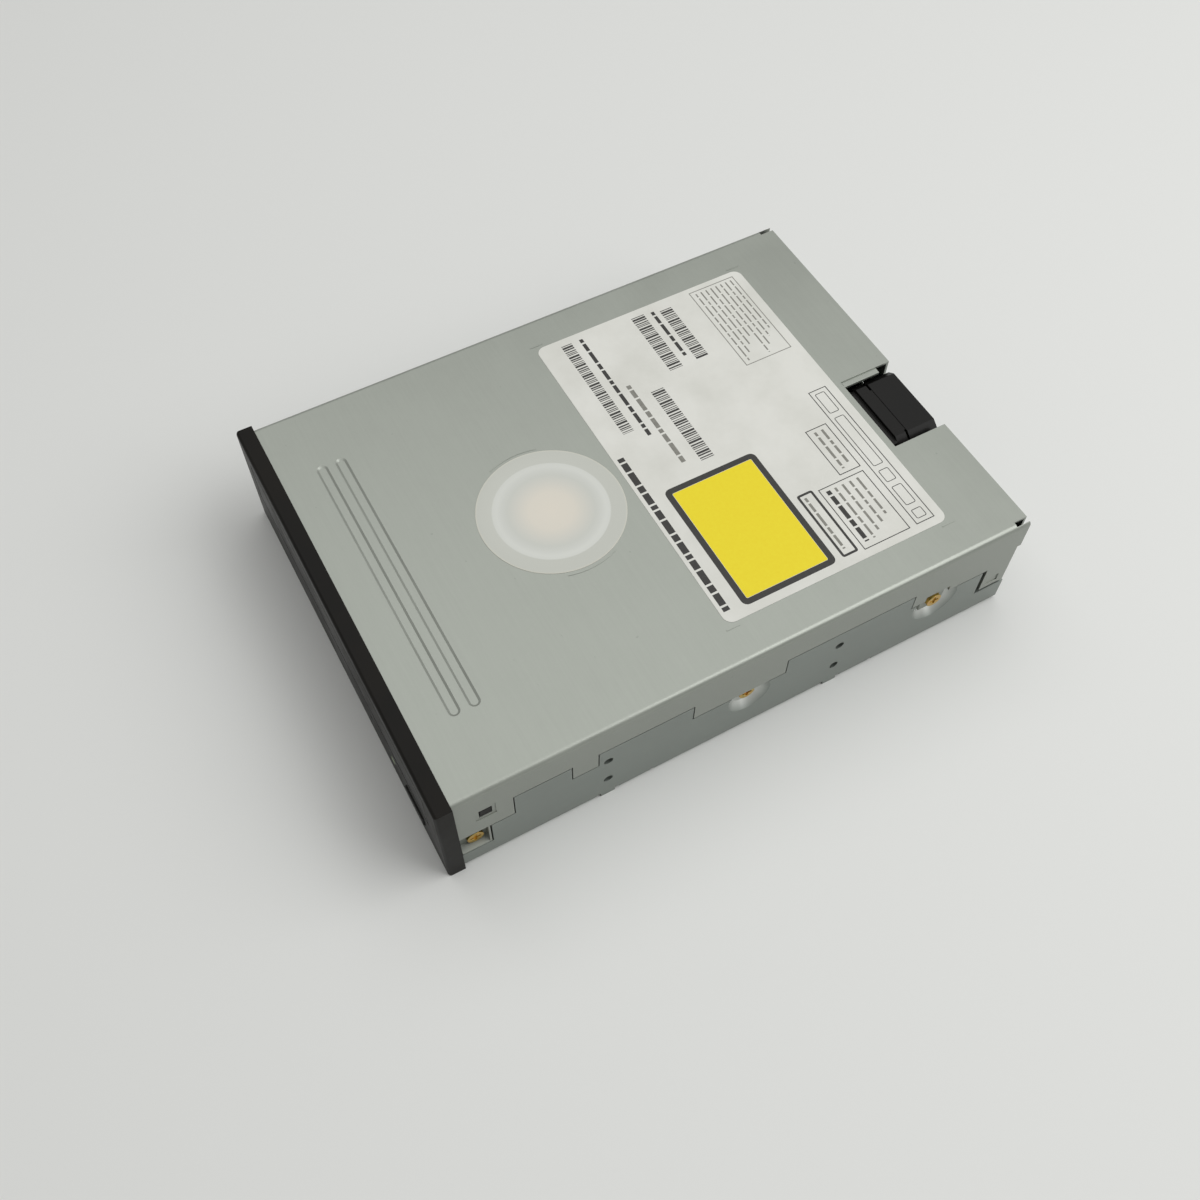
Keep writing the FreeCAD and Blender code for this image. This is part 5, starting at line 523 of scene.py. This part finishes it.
@dataclass(frozen=True)
class CircuitBoard(Finish):
    """Glass-epoxy board under green solder mask, its copper tracks a shade paler."""

    blotch: Pattern = Tracks()
    tones: tuple[str, ...] = ("#14502B", "#1F6B3A")
    levels: tuple[float, ...] = (0.4, 0.95)
    grain: Pattern = Tracks()
    depth_mm: float = 0.02
    relief: float = 0.6
    roughness: float = 0.28


@dataclass(frozen=True)
class FlexFilm(Finish):
    """Polyimide flat cable: amber film with copper conductors showing through it."""

    blotch: Pattern = Conductors()
    tones: tuple[str, ...] = ("#A8702A", "#C98B4A")
    levels: tuple[float, ...] = (0.4, 0.6)
    grain: Pattern = Conductors()
    depth_mm: float = 0.02
    relief: float = 0.5
    roughness: float = 0.25


@dataclass(frozen=True)
class Rubber(Finish):
    """Vulcanised rubber: dull, with a faint powdery bloom in soft patches."""

    blotch: Pattern = Noise(2.0, 5.0, 0.7)
    tones: tuple[str, ...] = ("#1A1A1A", "#2B2A29")
    levels: tuple[float, ...] = (0.4, 0.8)
    grain: Pattern = Noise(0.3, 3.0)
    roughness: float = 0.75


@dataclass(frozen=True)
class CoatedGlass(Finish):
    """Pressed lens with a blue-violet anti-reflection coating: clear body, coloured coat."""

    blotch: Pattern = Noise(1.5, 1.0)
    tones: tuple[str, ...] = ("#B7C3E0", "#C9BEE2")
    levels: tuple[float, ...] = (0.4, 0.6)
    roughness: float = 0.05
    clear: float = 0.7
    ior: float = 1.52
    coat: float = 0.6

    def extras(self) -> dict[str, float]:
        """Clear glass under its coat."""
        return {"Transmission_Weight": self.clear, "IOR": self.ior, "Coat_Weight": self.coat}


ZINC_COVER = ZincSheet("zinc_cover")
# The case is the cover's zinc, with darker tones as painted shade on its side walls and a painted
# highlight in each of its two screw dishes.
ZINC_CASE = PressedZinc("zinc_case", grain=Noise(0.7, 6.0, 0.7, (1.0, 0.03, 1.0)),
                        dishes=((mm(1.7), mm(18.6), mm(7.4)), (mm(69.3), mm(19.6), mm(8.4))))
BEZEL_ABS = MouldedPlastic("bezel_abs", tones=("#141311", "#1D1B18"), roughness=0.42,
                           specular=0.1)
DOOR_ABS = MouldedPlastic("door_abs", tones=("#141312", "#1C1A18"), roughness=0.4, specular=0.1)
FAN_PLASTIC = MouldedPlastic("fan_polyester", tones=("#141413", "#1D1C1B"), roughness=0.24,
                             grain=Noise(1.6, 3.0, 0.6), depth_mm=0.01, specular=0.12)
TRAY_PLASTIC = MouldedPlastic("tray_plastic", tones=("#26272A", "#303134"), roughness=0.55,
                              grain=Noise(0.3, 3.0, 0.6))
CHASSIS_PLASTIC = MouldedPlastic("chassis_plastic", tones=("#232326", "#2C2C2F"), roughness=0.6,
                                 grain=Noise(0.5, 3.0, 0.6))
HOLDER_PLASTIC = MouldedPlastic("holder_plastic", tones=("#3A3A3C", "#474749"), roughness=0.55)
SOCKET_BLACK = MouldedPlastic("socket_black", tones=("#181818", "#232322"), roughness=0.36)
JUMPER_BLUE = MouldedPlastic("jumper_blue", tones=("#1F3F8C", "#27489A"), roughness=0.35)
CHIP_EPOXY = MouldedPlastic("chip_epoxy", tones=("#1B1B1D", "#242426"), roughness=0.6,
                            grain=Noise(0.2, 3.0, 0.6))
PALE_RESIN = Resin("pale_resin")
IVORY_NYLON = Resin("ivory_nylon", tones=("#D8D3C1", "#E4E0D0"), roughness=0.42)
GEAR_ACETAL = Resin("gear_acetal", tones=("#DAD8CE", "#E6E4DC"), roughness=0.32)
LAMP_LENS = Resin("lamp_lens", tones=("#B7C98D", "#C9D8A0"), roughness=0.2)
NICKEL_STEEL = Metal("nickel_steel", tones=("#B5B4AF", "#CBCAC5"), roughness=0.24)
GROUND_ROD = Metal("ground_rod", tones=("#C0C0BE", "#D2D2D0"), roughness=0.14,
                   grain=Noise(0.25, 4.0, 0.65, (1.0, 0.1, 1.0)))
DRAWN_CAN = Metal("drawn_can", tones=("#A9A9A8", "#BDBDBB"), roughness=0.3,
                  grain=Noise(0.25, 4.0, 0.65, (1.0, 1.0, 0.1)))
STAMPED_STEEL = Metal("stamped_steel", tones=("#9D9F9E", "#B0B2B0"), roughness=0.36,
                      grain=Noise(0.25, 4.0, 0.65, (0.08, 1.0, 1.0)))
CAST_ALLOY = Metal("cast_alloy", tones=("#8B8D8E", "#9EA0A0"), roughness=0.5,
                   grain=Noise(0.5, 4.0, 0.65), depth_mm=0.02)
GOLD_CONTACT = Metal("gold_contact", tones=("#C7A552", "#D9B968"), roughness=0.2)
TIN_CONTACT = Metal("tin_contact", tones=("#B3B2AC", "#C9C8C2"), roughness=0.32)
SCREW_CHROMATE = Chromate("screw_chromate")
LABEL_PAPER = PrintedPaper("coated_label_paper")
DARK_INK = Ink("dark_ink", tones=("#1C1B19", "#2B2A27"))
GREY_INK = Ink("grey_ink", tones=("#77766F", "#8A8982"))
YELLOW_INK = Ink("yellow_ink", tones=("#EAD500", "#ECDA12"))
BOARD_GREEN = CircuitBoard("board_green")
FLEX_AMBER = FlexFilm("flex_amber")
BELT_RUBBER = Rubber("belt_rubber")
PAD_RUBBER = Rubber("pad_rubber", tones=("#202021", "#2E2E2F"))
DAMPER_RUBBER = Rubber("damper_rubber", tones=("#5A5854", "#6B6862"))
LENS_GLASS = CoatedGlass("coated_lens_glass")


def place_bodies() -> dict[str, str]:
    """The body of each CAD node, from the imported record."""
    bodies = frame["record"]["behaviour"]["bodies"]
    return {node: body for body, nodes in bodies.items() for node in nodes}


BODY_OF = place_bodies()


def new_object(name: str, mesh: bpy.types.Mesh) -> bpy.types.Object:
    """An object for a mesh, linked to the scene."""
    item = bpy.data.objects.new(name, mesh)
    bpy.context.scene.collection.objects.link(item)
    return item


def dress(item: bpy.types.Object, finish: Finish) -> None:
    """Give every material slot of an object one finish."""
    material = finish.material()
    if not item.data.materials:
        item.data.materials.append(material)
    for slot in item.material_slots:
        slot.material = material


def smooth(mesh: bpy.types.Mesh, degrees: float) -> None:
    """Shade a mesh smooth, with sharp edges where faces meet at more than an angle."""
    mesh.polygons.foreach_set("use_smooth", [True] * len(mesh.polygons))
    mesh.set_sharp_from_angle(angle=math.radians(degrees))


def eased_copy(node: str, radius_mm: float) -> bpy.types.Object:
    """Copy a CAD node with its hard edges eased, as a press or mould leaves them.

    Args:
        node: CAD node that the copy stands for.
        radius_mm: How far each edge is rounded.

    Returns:
        The new piece, riding on the node's body.
    """
    source = frame["nodes"][node]
    mesh = source.data.copy()
    solid = bmesh.new()
    solid.from_mesh(mesh)
    bmesh.ops.remove_doubles(solid, verts=solid.verts, dist=mm(WELD_MM))
    bmesh.ops.dissolve_limit(solid, angle_limit=math.radians(FLAT_DEGREES),
                             verts=solid.verts, edges=solid.edges)
    solid.to_mesh(mesh)
    solid.free()
    mesh.materials.clear()
    if mesh.has_custom_normals:
        mesh.attributes.remove(mesh.attributes["custom_normal"])
    item = new_object(node + "_eased", mesh)
    bevel = item.modifiers.new("ease", "BEVEL")
    bevel.width = mm(radius_mm)
    bevel.segments = EASE_STEPS
    bevel.limit_method = "ANGLE"
    bevel.angle_limit = math.radians(EASED_DEGREES)
    bevel.use_clamp_overlap = True
    bevel.miter_outer = "MITER_SHARP"
    smooth(mesh, EASED_CREASE)
    even = item.modifiers.new("even", "WEIGHTED_NORMAL")
    even.weight = FACE_LEAD
    even.keep_sharp = True
    depth = bpy.context.evaluated_depsgraph_get()
    done = bpy.data.meshes.new_from_object(item.evaluated_get(depth))
    item.modifiers.clear()
    item.data = done
    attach(item, BODY_OF[node])
    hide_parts(node)
    return item


def rounded(rect: Rect, radius: float, steps: int = 4) -> list[tuple[float, float]]:
    """Outline of a rectangle with round corners, anticlockwise."""
    x0, x1, y0, y1 = rect
    if radius <= 0.0:
        return [(x0, y0), (x1, y0), (x1, y1), (x0, y1)]
    points = []
    for x, y, start in ((x1, y0, -90), (x1, y1, 0), (x0, y1, 90), (x0, y0, 180)):
        cx = x + (radius if x == x0 else -radius)
        cy = y + (radius if y == y0 else -radius)
        for step in range(steps + 1):
            angle = math.radians(start + 90 * step / steps)
            points.append((cx + radius * math.cos(angle), cy + radius * math.sin(angle)))
    return points


def flat_print(name: str, sheet: "Print", low: float, high: float) -> bpy.types.Object:
    """Thin printed shapes, each a closed flat solid, frames hollow.

    Args:
        name: Name of the piece.
        sheet: Shapes of one ink.
        low: Height of the underside.
        high: Height of the top.

    Returns:
        The new object.
    """
    solid = bmesh.new()
    for rect, radius in sheet.fills:
        points = rounded(rect, radius)
        under, over = ([solid.verts.new((x, y, z)) for x, y in points] for z in (low, high))
        solid.faces.new(over)
        solid.faces.new(under[::-1])
        for a in range(len(points)):
            b = (a + 1) % len(points)
            solid.faces.new((under[a], under[b], over[b], over[a]))
    for (x0, x1, y0, y1), radius, rule in sheet.frames:
        inner = (x0 + rule, x1 - rule, y0 + rule, y1 - rule)
        outlines = (rounded((x0, x1, y0, y1), radius), rounded(inner, max(radius - rule, 0.0)))
        if len(outlines[0]) != len(outlines[1]):
            outlines = (outlines[0], rounded(inner, radius * INNER_CORNER))
        rings = [[solid.verts.new((x, y, z)) for x, y in line]
                 for line in outlines for z in (low, high)]
        for a in range(len(outlines[0])):
            b = (a + 1) % len(outlines[0])
            for one, two in ((0, 1), (1, 3), (3, 2), (2, 0)):
                solid.faces.new((rings[one][a], rings[one][b], rings[two][b], rings[two][a]))
    mesh = bpy.data.meshes.new(name)
    solid.to_mesh(mesh)
    solid.free()
    return new_object(name, mesh)


def lathe(name: str, profile: Sequence[tuple[float, float]], centre: Point,
          steps: int = 128) -> bpy.types.Object:
    """Turn a closed profile of radius and height round an upright axis.

    Args:
        name: Name of the piece.
        profile: Radius and height pairs from the axis out and back to the axis.
        centre: Foot of the axis.
        steps: Parts of the full turn.

    Returns:
        The new object.
    """
    solid = bmesh.new()
    verts = [solid.verts.new((r + centre[0], centre[1], z + centre[2])) for r, z in profile]
    edges = [solid.edges.new(pair) for pair in zip(verts, verts[1:])]
    bmesh.ops.spin(solid, geom=verts + edges, cent=centre, axis=(0, 0, 1),
                   angle=math.tau, steps=steps)
    bmesh.ops.remove_doubles(solid, verts=solid.verts, dist=mm(LATHE_WELD_MM))
    bmesh.ops.recalc_face_normals(solid, faces=solid.faces)
    mesh = bpy.data.meshes.new(name)
    solid.to_mesh(mesh)
    solid.free()
    smooth(mesh, LATHE_CREASE)
    return new_object(name, mesh)


class SubAssembly:
    """One part of the drive: its eased nodes and the nodes kept as they are.

    Attributes:
        title: Name of the part in the log.
        eased: Nodes copied with rounded edges: radius in millimetres and finish.
        carried: Nodes dressed as they are, with their finish.
    """

    title: str = "part"
    eased: dict[str, tuple[float, Finish]] = {}
    carried: dict[str, Finish] = {}

    def build(self) -> None:
        """Make and dress every piece."""
        for node, (radius, finish) in self.eased.items():
            dress(eased_copy(node, radius), finish)
            LOG.info("%s: eased %s", self.title, node)
        for node, finish in self.carried.items():
            item = frame["nodes"][node]
            dress(item, finish)
            smooth(item.data, CARRIED_CREASE)
            LOG.info("%s: dressed %s", self.title, node)


class Casing(SubAssembly):
    """Steel cover and case, with the screws in their sides."""

    title = "casing"
    eased = {"top_cover": (0.12, ZINC_COVER), "bottom_case": (0.12, ZINC_CASE),
             "casing_screws": (0.14, SCREW_CHROMATE)}


class Front(SubAssembly):
    """Bezel, tray door, eject button and light."""

    title = "front"
    eased = {"front_bezel": (0.25, BEZEL_ABS), "tray_front": (0.25, DOOR_ABS),
             "eject_button": (0.25, DOOR_ABS)}
    carried = {"led_lens": LAMP_LENS, "status_led": PALE_RESIN, "front_board": BOARD_GREEN,
               "eject_switch": SOCKET_BLACK, "switch_plunger": PALE_RESIN,
               "front_flex": FLEX_AMBER}


class Loader(SubAssembly):
    """Chassis, tray and the train that drives it."""

    title = "loader"
    eased = {"main_chassis": (0.25, CHASSIS_PLASTIC), "disc_tray": (0.3, TRAY_PLASTIC),
             "cam_slider": (0.2, PALE_RESIN), "tray_gear": (0.1, GEAR_ACETAL),
             "pulley_gear": (0.1, GEAR_ACETAL), "motor_pulley": (0.12, GEAR_ACETAL),
             "loading_motor": (0.3, DRAWN_CAN)}
    carried = {"drive_belt": BELT_RUBBER}


class Clamp(SubAssembly):
    """Bridge over the disc and the clamper that hangs in it."""

    title = "clamp"
    eased = {"clamp_bridge": (0.12, STAMPED_STEEL), "clamper_puck": (0.25, IVORY_NYLON),
             "clamper_cap": (0.25, IVORY_NYLON), "inner_screws": (0.15, NICKEL_STEEL)}
    carried = {"clamper_ring": STAMPED_STEEL}


class Traverse(SubAssembly):
    """Tilting holder, its sprung frame and the disc motor."""

    title = "traverse"
    eased = {"traverse_holder": (0.25, HOLDER_PLASTIC), "traverse_frame": (0.25, CAST_ALLOY),
             "damper_rubbers": (0.25, DAMPER_RUBBER), "damper_screws": (0.15, NICKEL_STEEL),
             "feed_motor": (0.2, DRAWN_CAN), "spindle_base": (0.15, CAST_ALLOY),
             "motor_rotor": (0.2, DRAWN_CAN), "turntable": (0.2, CHASSIS_PLASTIC)}
    carried = {"guide_rods": GROUND_ROD, "lead_screw": GROUND_ROD, "turntable_pad": PAD_RUBBER}


class Pickup(SubAssembly):
    """Sled with its lens, spring plate and cover."""

    title = "pickup"
    eased = {"pickup_body": (0.3, CAST_ALLOY), "pickup_cover": (0.1, STAMPED_STEEL),
             "feed_nut": (0.15, PALE_RESIN), "actuator_yoke": (0.15, STAMPED_STEEL),
             "lens_holder": (0.2, SOCKET_BLACK)}
    carried = {"objective_lens": LENS_GLASS, "pickup_flex": FLEX_AMBER}


class Electronics(SubAssembly):
    """Main board and the rear connectors."""

    title = "electronics"
    eased = {"ide_socket": (0.15, SOCKET_BLACK), "power_socket": (0.2, IVORY_NYLON),
             "audio_sockets": (0.12, IVORY_NYLON), "jumper_header": (0.12, SOCKET_BLACK),
             "jumper_cap": (0.15, JUMPER_BLUE), "board_chips": (0.12, CHIP_EPOXY),
             "board_capacitors": (0.3, DRAWN_CAN), "flex_connectors": (0.12, IVORY_NYLON),
             "ide_pins": (0.08, GOLD_CONTACT), "power_pins": (0.25, TIN_CONTACT),
             "header_pins": (0.08, GOLD_CONTACT)}
    carried = {"main_board": BOARD_GREEN}


class Cooling(SubAssembly):
    """Small fan in the rear notch and the shroud before it."""

    title = "cooling"
    eased = {"fan_frame": (0.4, FAN_PLASTIC), "fan_duct": (0.4, FAN_PLASTIC),
             "fan_rotor": (0.12, SOCKET_BLACK)}


@dataclass
class Print:
    """What one ink prints on the label: filled shapes and ruled frames, kept in metres.

    Attributes:
        left: X of the label's left edge.
        start: Y of its front edge.
        fills: Spans with a corner radius.
        frames: Spans with a corner radius and the width of the ruled line.
    """

    left: float
    start: float
    fills: list[tuple[Rect, float]] = field(default_factory=list)
    frames: list[tuple[Rect, float, float]] = field(default_factory=list)

    def span(self, x: float, y: float, wide: float, long: float) -> Rect:
        """Spans of a rectangle given from the label's front left corner, in millimetres."""
        x0, y0 = self.left + mm(x), self.start + mm(y)
        return x0, x0 + mm(wide), y0, y0 + mm(long)

    def fill(self, x: float, y: float, wide: float, long: float, corner: float = 0.0) -> None:
        """Add one filled shape, in millimetres."""
        self.fills.append((self.span(x, y, wide, long), mm(corner)))

    def rule(self, x: float, y: float, wide: float, long: float, line: float,
             corner: float) -> None:
        """Add one ruled box, in millimetres."""
        self.frames.append((self.span(x, y, wide, long), mm(corner), mm(line)))


@dataclass(frozen=True)
class Mark(ABC):
    """One mark on the label, in millimetres from the label's front left corner."""

    ink: str
    x: float
    y: float
    wide: float

    @abstractmethod
    def lay(self, sheet: Print) -> None:
        """Add the mark's shapes to what its ink prints."""


@dataclass(frozen=True)
class Panel(Mark):
    """A filled rectangle."""

    long: float
    corner: float = 0.4

    def lay(self, sheet: Print) -> None:
        """One filled shape."""
        sheet.fill(self.x, self.y, self.wide, self.long, self.corner)


@dataclass(frozen=True)
class Box(Mark):
    """A ruled rectangle."""

    long: float
    line: float = 0.3
    corner: float = 0.0

    def lay(self, sheet: Print) -> None:
        """One hollow frame."""
        sheet.rule(self.x, self.y, self.wide, self.long, self.line, self.corner)


@dataclass(frozen=True)
class Stripes(Mark):
    """A block of plain upright stripes of mixed widths."""

    long: float
    widths: tuple[float, ...] = (0.3, 0.55, 0.3, 0.8, 0.42)
    gaps: tuple[float, ...] = (0.42, 0.3, 0.6)
    stride: int = 3

    def lay(self, sheet: Print) -> None:
        """Stripe after stripe, up to the block's width."""
        place = 0.0
        step = 0
        while place < self.wide:
            thick = self.widths[step * self.stride % len(self.widths)]
            sheet.fill(self.x + place, self.y, min(thick, self.wide - place), self.long)
            place += thick + self.gaps[step % len(self.gaps)]
            step += 1


@dataclass(frozen=True)
class Dashes(Mark):
    """Rows of short dashes that stand for lines of print; weight is a dash's thickness."""

    weight: float
    count: int = 1
    pitch: float = 3.0
    shortest: float = 1.6
    growth: float = 0.9
    gap: float = 0.7
    ragged: float = 0.09
    row_ends: int = 4
    row_stride: int = 5
    dash_lengths: int = 5
    dash_stride: int = 7
    dash_shift: int = 3

    def lay(self, sheet: Print) -> None:
        """Row after row, each with dashes of five lengths in turn and its own ragged end."""
        for row in range(self.count):
            length = self.wide * (1.0 - self.ragged * (row * self.row_stride % self.row_ends))
            place = 0.0
            step = 0
            while place < length:
                turn = (step * self.dash_stride + row * self.dash_shift) % self.dash_lengths
                dash = min(self.shortest + turn * self.growth, length - place)
                sheet.fill(self.x + place, self.y + row * self.pitch, dash, self.weight)
                place += dash + self.gap
                step += 1


LABEL_MARKS: tuple[Mark, ...] = (
    Dashes("dark", 52.8, 1.3, 63.0, weight=2.2),
    Panel("yellow", 72.3, 9.7, 42.6, 28.2),
    Box("dark", 70.2, 7.6, 46.8, 32.4, line=2.0, corner=2.0),
    Stripes("dark", 3.0, 8.0, 42.0, 3.8),
    Dashes("dark", 3.0, 14.6, 46.0, weight=1.3),
    Dashes("grey", 28.0, 18.4, 36.0, weight=1.5),
    Stripes("dark", 34.0, 24.2, 31.5, 4.6),
    Stripes("dark", 3.0, 34.4, 26.0, 4.8),
    Dashes("dark", 3.5, 41.6, 22.0, weight=1.2),
    Stripes("dark", 4.5, 44.6, 24.5, 4.4),
    Box("dark", 91.2, 42.2, 25.4, 5.6, line=0.8, corner=0.8),
    Dashes("grey", 93.0, 43.9, 21.0, weight=0.9),
    Box("dark", 92.4, 49.4, 24.9, 16.6),
    Dashes("dark", 94.0, 51.2, 21.0, weight=1.5),
    Dashes("grey", 94.0, 54.2, 21.0, weight=0.8, count=4, pitch=2.7),
    Box("dark", 71.4, 58.6, 19.4, 7.8),
    Dashes("grey", 73.0, 60.8, 16.0, weight=0.9, count=2, pitch=2.6),
    Box("grey", 2.0, 57.4, 37.0, 17.4),
    Dashes("grey", 3.4, 59.2, 34.0, weight=0.5, count=8, pitch=1.95),
    Box("dark", 58.4, 68.4, 58.8, 6.6),
    *(Box("dark", x, 69.8, wide, 3.6, line=0.25, corner=0.6)
      for x, wide in ((60.0, 9.0), (71.0, 22.0), (95.0, 5.0), (102.0, 8.0), (112.0, 3.6))),
)


class RatingLabel(SubAssembly):
    """Paper label with a plain yellow panel, ruled boxes and rows of bars in place of print."""

    title = "label"
    ease_mm: float = 0.04
    ink_low: float = mm(0.004)
    ink_high: float = mm(0.012)
    inks: dict[str, tuple[str, Finish]] = {"dark": ("label_dark_print", DARK_INK),
                                           "grey": ("label_grey_print", GREY_INK),
                                           "yellow": ("label_yellow_panel", YELLOW_INK)}

    def build(self) -> None:
        """Ease the paper and lay the print on it, ink by ink."""
        dress(eased_copy("rating_label", self.ease_mm), LABEL_PAPER)
        low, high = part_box("rating_label")
        for ink, (name, finish) in self.inks.items():
            sheet = Print(low.x, low.y)
            for mark in LABEL_MARKS:
                if mark.ink == ink:
                    mark.lay(sheet)
            item = flat_print(name, sheet, high.z + self.ink_low, high.z + self.ink_high)
            dress(item, finish)
            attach(item, ROOT_BODY)
            LOG.info("%s: printed %s", self.title, name)


class OpeningSeal(SubAssembly):
    """Round film over the cover's opening, sagging a little in the middle."""

    title = "seal"
    ring: float = mm(18.0)
    opening: float = mm(14.0)
    sag: float = mm(0.18)

    def profile(self, radius: float, thick: float) -> list[tuple[float, float]]:
        """Radius and height pairs of the film's section.

        Args:
            radius: Rim of the film.
            thick: Thickness of the film.

        Returns:
            Pairs over the sag, the opening's edge, the pressed ring and the rim, then back
            under the sag.
        """
        ring, hole, sag = self.ring, self.opening, self.sag
        top = [(0.0, thick - sag), (hole * 0.45, thick - sag * 0.9),
               (hole * 0.8, thick - sag * 0.45), (hole * 0.97, thick * 0.72),
               (hole * 1.03, thick * 0.8), (ring * 0.985, thick * 0.8), (ring, thick * 0.68),
               (ring * 1.015, thick), (radius - thick * 0.4, thick), (radius, thick * 0.6),
               (radius, 0.0)]
        under = [(hole, 0.0), (hole * 0.45, -sag * 0.9), (0.0, -sag)]
        return top + under

    def build(self) -> None:
        """Turn the film and dress it in rings."""
        low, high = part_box("seal_sticker")
        radius, thick = (high.x - low.x) / 2, high.z - low.z
        x, y = (low.x + high.x) / 2, (low.y + high.y) / 2
        film = lathe("seal_film", self.profile(radius, thick), (x, y, low.z))
        dress(film, SealFilm("milky_polyester_film", Rings((x, y, low.z + thick), radius)))
        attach(film, ROOT_BODY)
        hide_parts("seal_sticker")
        LOG.info("%s: turned seal_film", self.title)


class Ray(Enum):
    """Rays that see the pale backdrop in place of the lighting."""

    CAMERA = "Is Camera Ray"
    GLOSSY = "Is Glossy Ray"
    TRANSMISSION = "Is Transmission Ray"


@dataclass(frozen=True)
class Lamp:
    """One softbox."""

    name: str
    spot: Point
    aim: Point
    size: float
    power: float

    def build(self) -> None:
        """Hang the softbox and turn it to its aim."""
        data = bpy.data.lights.new(self.name, "AREA")
        data.shape = "SQUARE"
        data.size = self.size
        data.energy = self.power
        item = bpy.data.objects.new(self.name, data)
        bpy.context.scene.collection.objects.link(item)
        item.location = self.spot
        beam = Vector(self.aim) - Vector(self.spot)
        item.rotation_euler = beam.to_track_quat("-Z", "Y").to_euler()


@dataclass
class Studio:
    """Camera at the photograph's place, pale table, backdrop and softboxes."""

    lens_mm: float = 38.7
    sensor_mm: float = 36.0
    camera_at: Point = (0.2078, -0.1242, 0.35735)
    right: Point = (0.48093798, 0.87674541, 0.00401774)
    down: Point = (0.74406836, -0.40572567, -0.5308003)
    ahead: Point = (-0.46374663, 0.25827149, -0.8474874)
    near_clip: float = 0.01
    table_half: float = 3.0
    table_roughness: float = 0.8
    table_tone: str = "#E2E3E1"
    backdrop_tone: str = "#BDBDBA"
    sky_strength: float = 0.5
    lamps: tuple[Lamp, ...] = (
        Lamp("softbox_key", (0.52, 0.76, 1.02), (0.0, 0.0, 0.0), 1.1, 9.4),
        Lamp("softbox_above", (-0.35, 0.1, 1.5), (0.0, 0.0, 0.0), 1.9, 12.4))

    def build(self) -> None:
        """Set the camera first, then the table, world and lamps."""
        self.camera()
        self.table()
        self.world()
        for lamp in self.lamps:
            lamp.build()
        bpy.context.scene.view_settings.view_transform = "Standard"
        LOG.info("studio: camera, table, world and %d lamps", len(self.lamps))

    def camera(self) -> None:
        """Put the camera where the photograph was taken from."""
        data = bpy.data.cameras.new("view")
        data.lens = self.lens_mm
        data.sensor_width = self.sensor_mm
        data.sensor_height = self.sensor_mm
        data.sensor_fit = "HORIZONTAL"
        data.clip_start = self.near_clip
        item = bpy.data.objects.new("view", data)
        bpy.context.scene.collection.objects.link(item)
        columns = (Vector(self.right), -Vector(self.down), -Vector(self.ahead))
        turn = Matrix(columns).transposed().to_4x4()
        item.matrix_world = Matrix.Translation(self.camera_at) @ turn
        bpy.context.scene.camera = item

    def table(self) -> None:
        """A plain pale table top."""
        mesh = bpy.data.meshes.new("table")
        half = self.table_half
        mesh.from_pydata([(-half, -half, 0), (half, -half, 0), (half, half, 0), (-half, half, 0)],
                         [], [(0, 1, 2, 3)])
        item = new_object("table", mesh)
        made = bpy.data.materials.new("table_top")
        made.use_nodes = True
        shader = made.node_tree.nodes["Principled BSDF"]
        shader.inputs["Base Color"].default_value = colour(self.table_tone)
        shader.inputs["Roughness"].default_value = self.table_roughness
        mesh.materials.append(made)

    def world(self) -> None:
        """A pale backdrop for what sees it, and a plain sky that lights the drive."""
        world = bpy.data.worlds.new("backdrop")
        bpy.context.scene.world = world
        world.use_nodes = True
        tree = world.node_tree
        tree.nodes.clear()
        rays = add_node(tree, "ShaderNodeLightPath")
        seen: bpy.types.NodeSocket | None = None
        for ray in Ray:
            socket = rays.outputs[ray.value]
            if seen is None:
                seen = socket
                continue
            seen = add_node(tree, "ShaderNodeMath", {"operation": "MAXIMUM"},
                            a_0=seen, b_1=socket).outputs[0]
        tone = colour(self.backdrop_tone)
        sky = add_node(tree, "ShaderNodeBackground", Color=tone, Strength=self.sky_strength)
        pale = add_node(tree, "ShaderNodeBackground", Color=tone, Strength=1.0)
        mix = add_node(tree, "ShaderNodeMixShader", Fac=seen,
                       a_1=sky.outputs[0], b_2=pale.outputs[0])
        add_node(tree, "ShaderNodeOutputWorld", Surface=mix.outputs[0])


def main() -> None:
    """Build the studio and every sub-assembly in order."""
    logging.basicConfig(level=logging.INFO, format="%(name)s %(message)s")
    Studio().build()
    parts = (Casing(), Front(), Loader(), Clamp(), Traverse(), Pickup(), Electronics(),
             Cooling(), RatingLabel(), OpeningSeal())
    for part in parts:
        part.build()


if __name__ == "__main__":
    main()
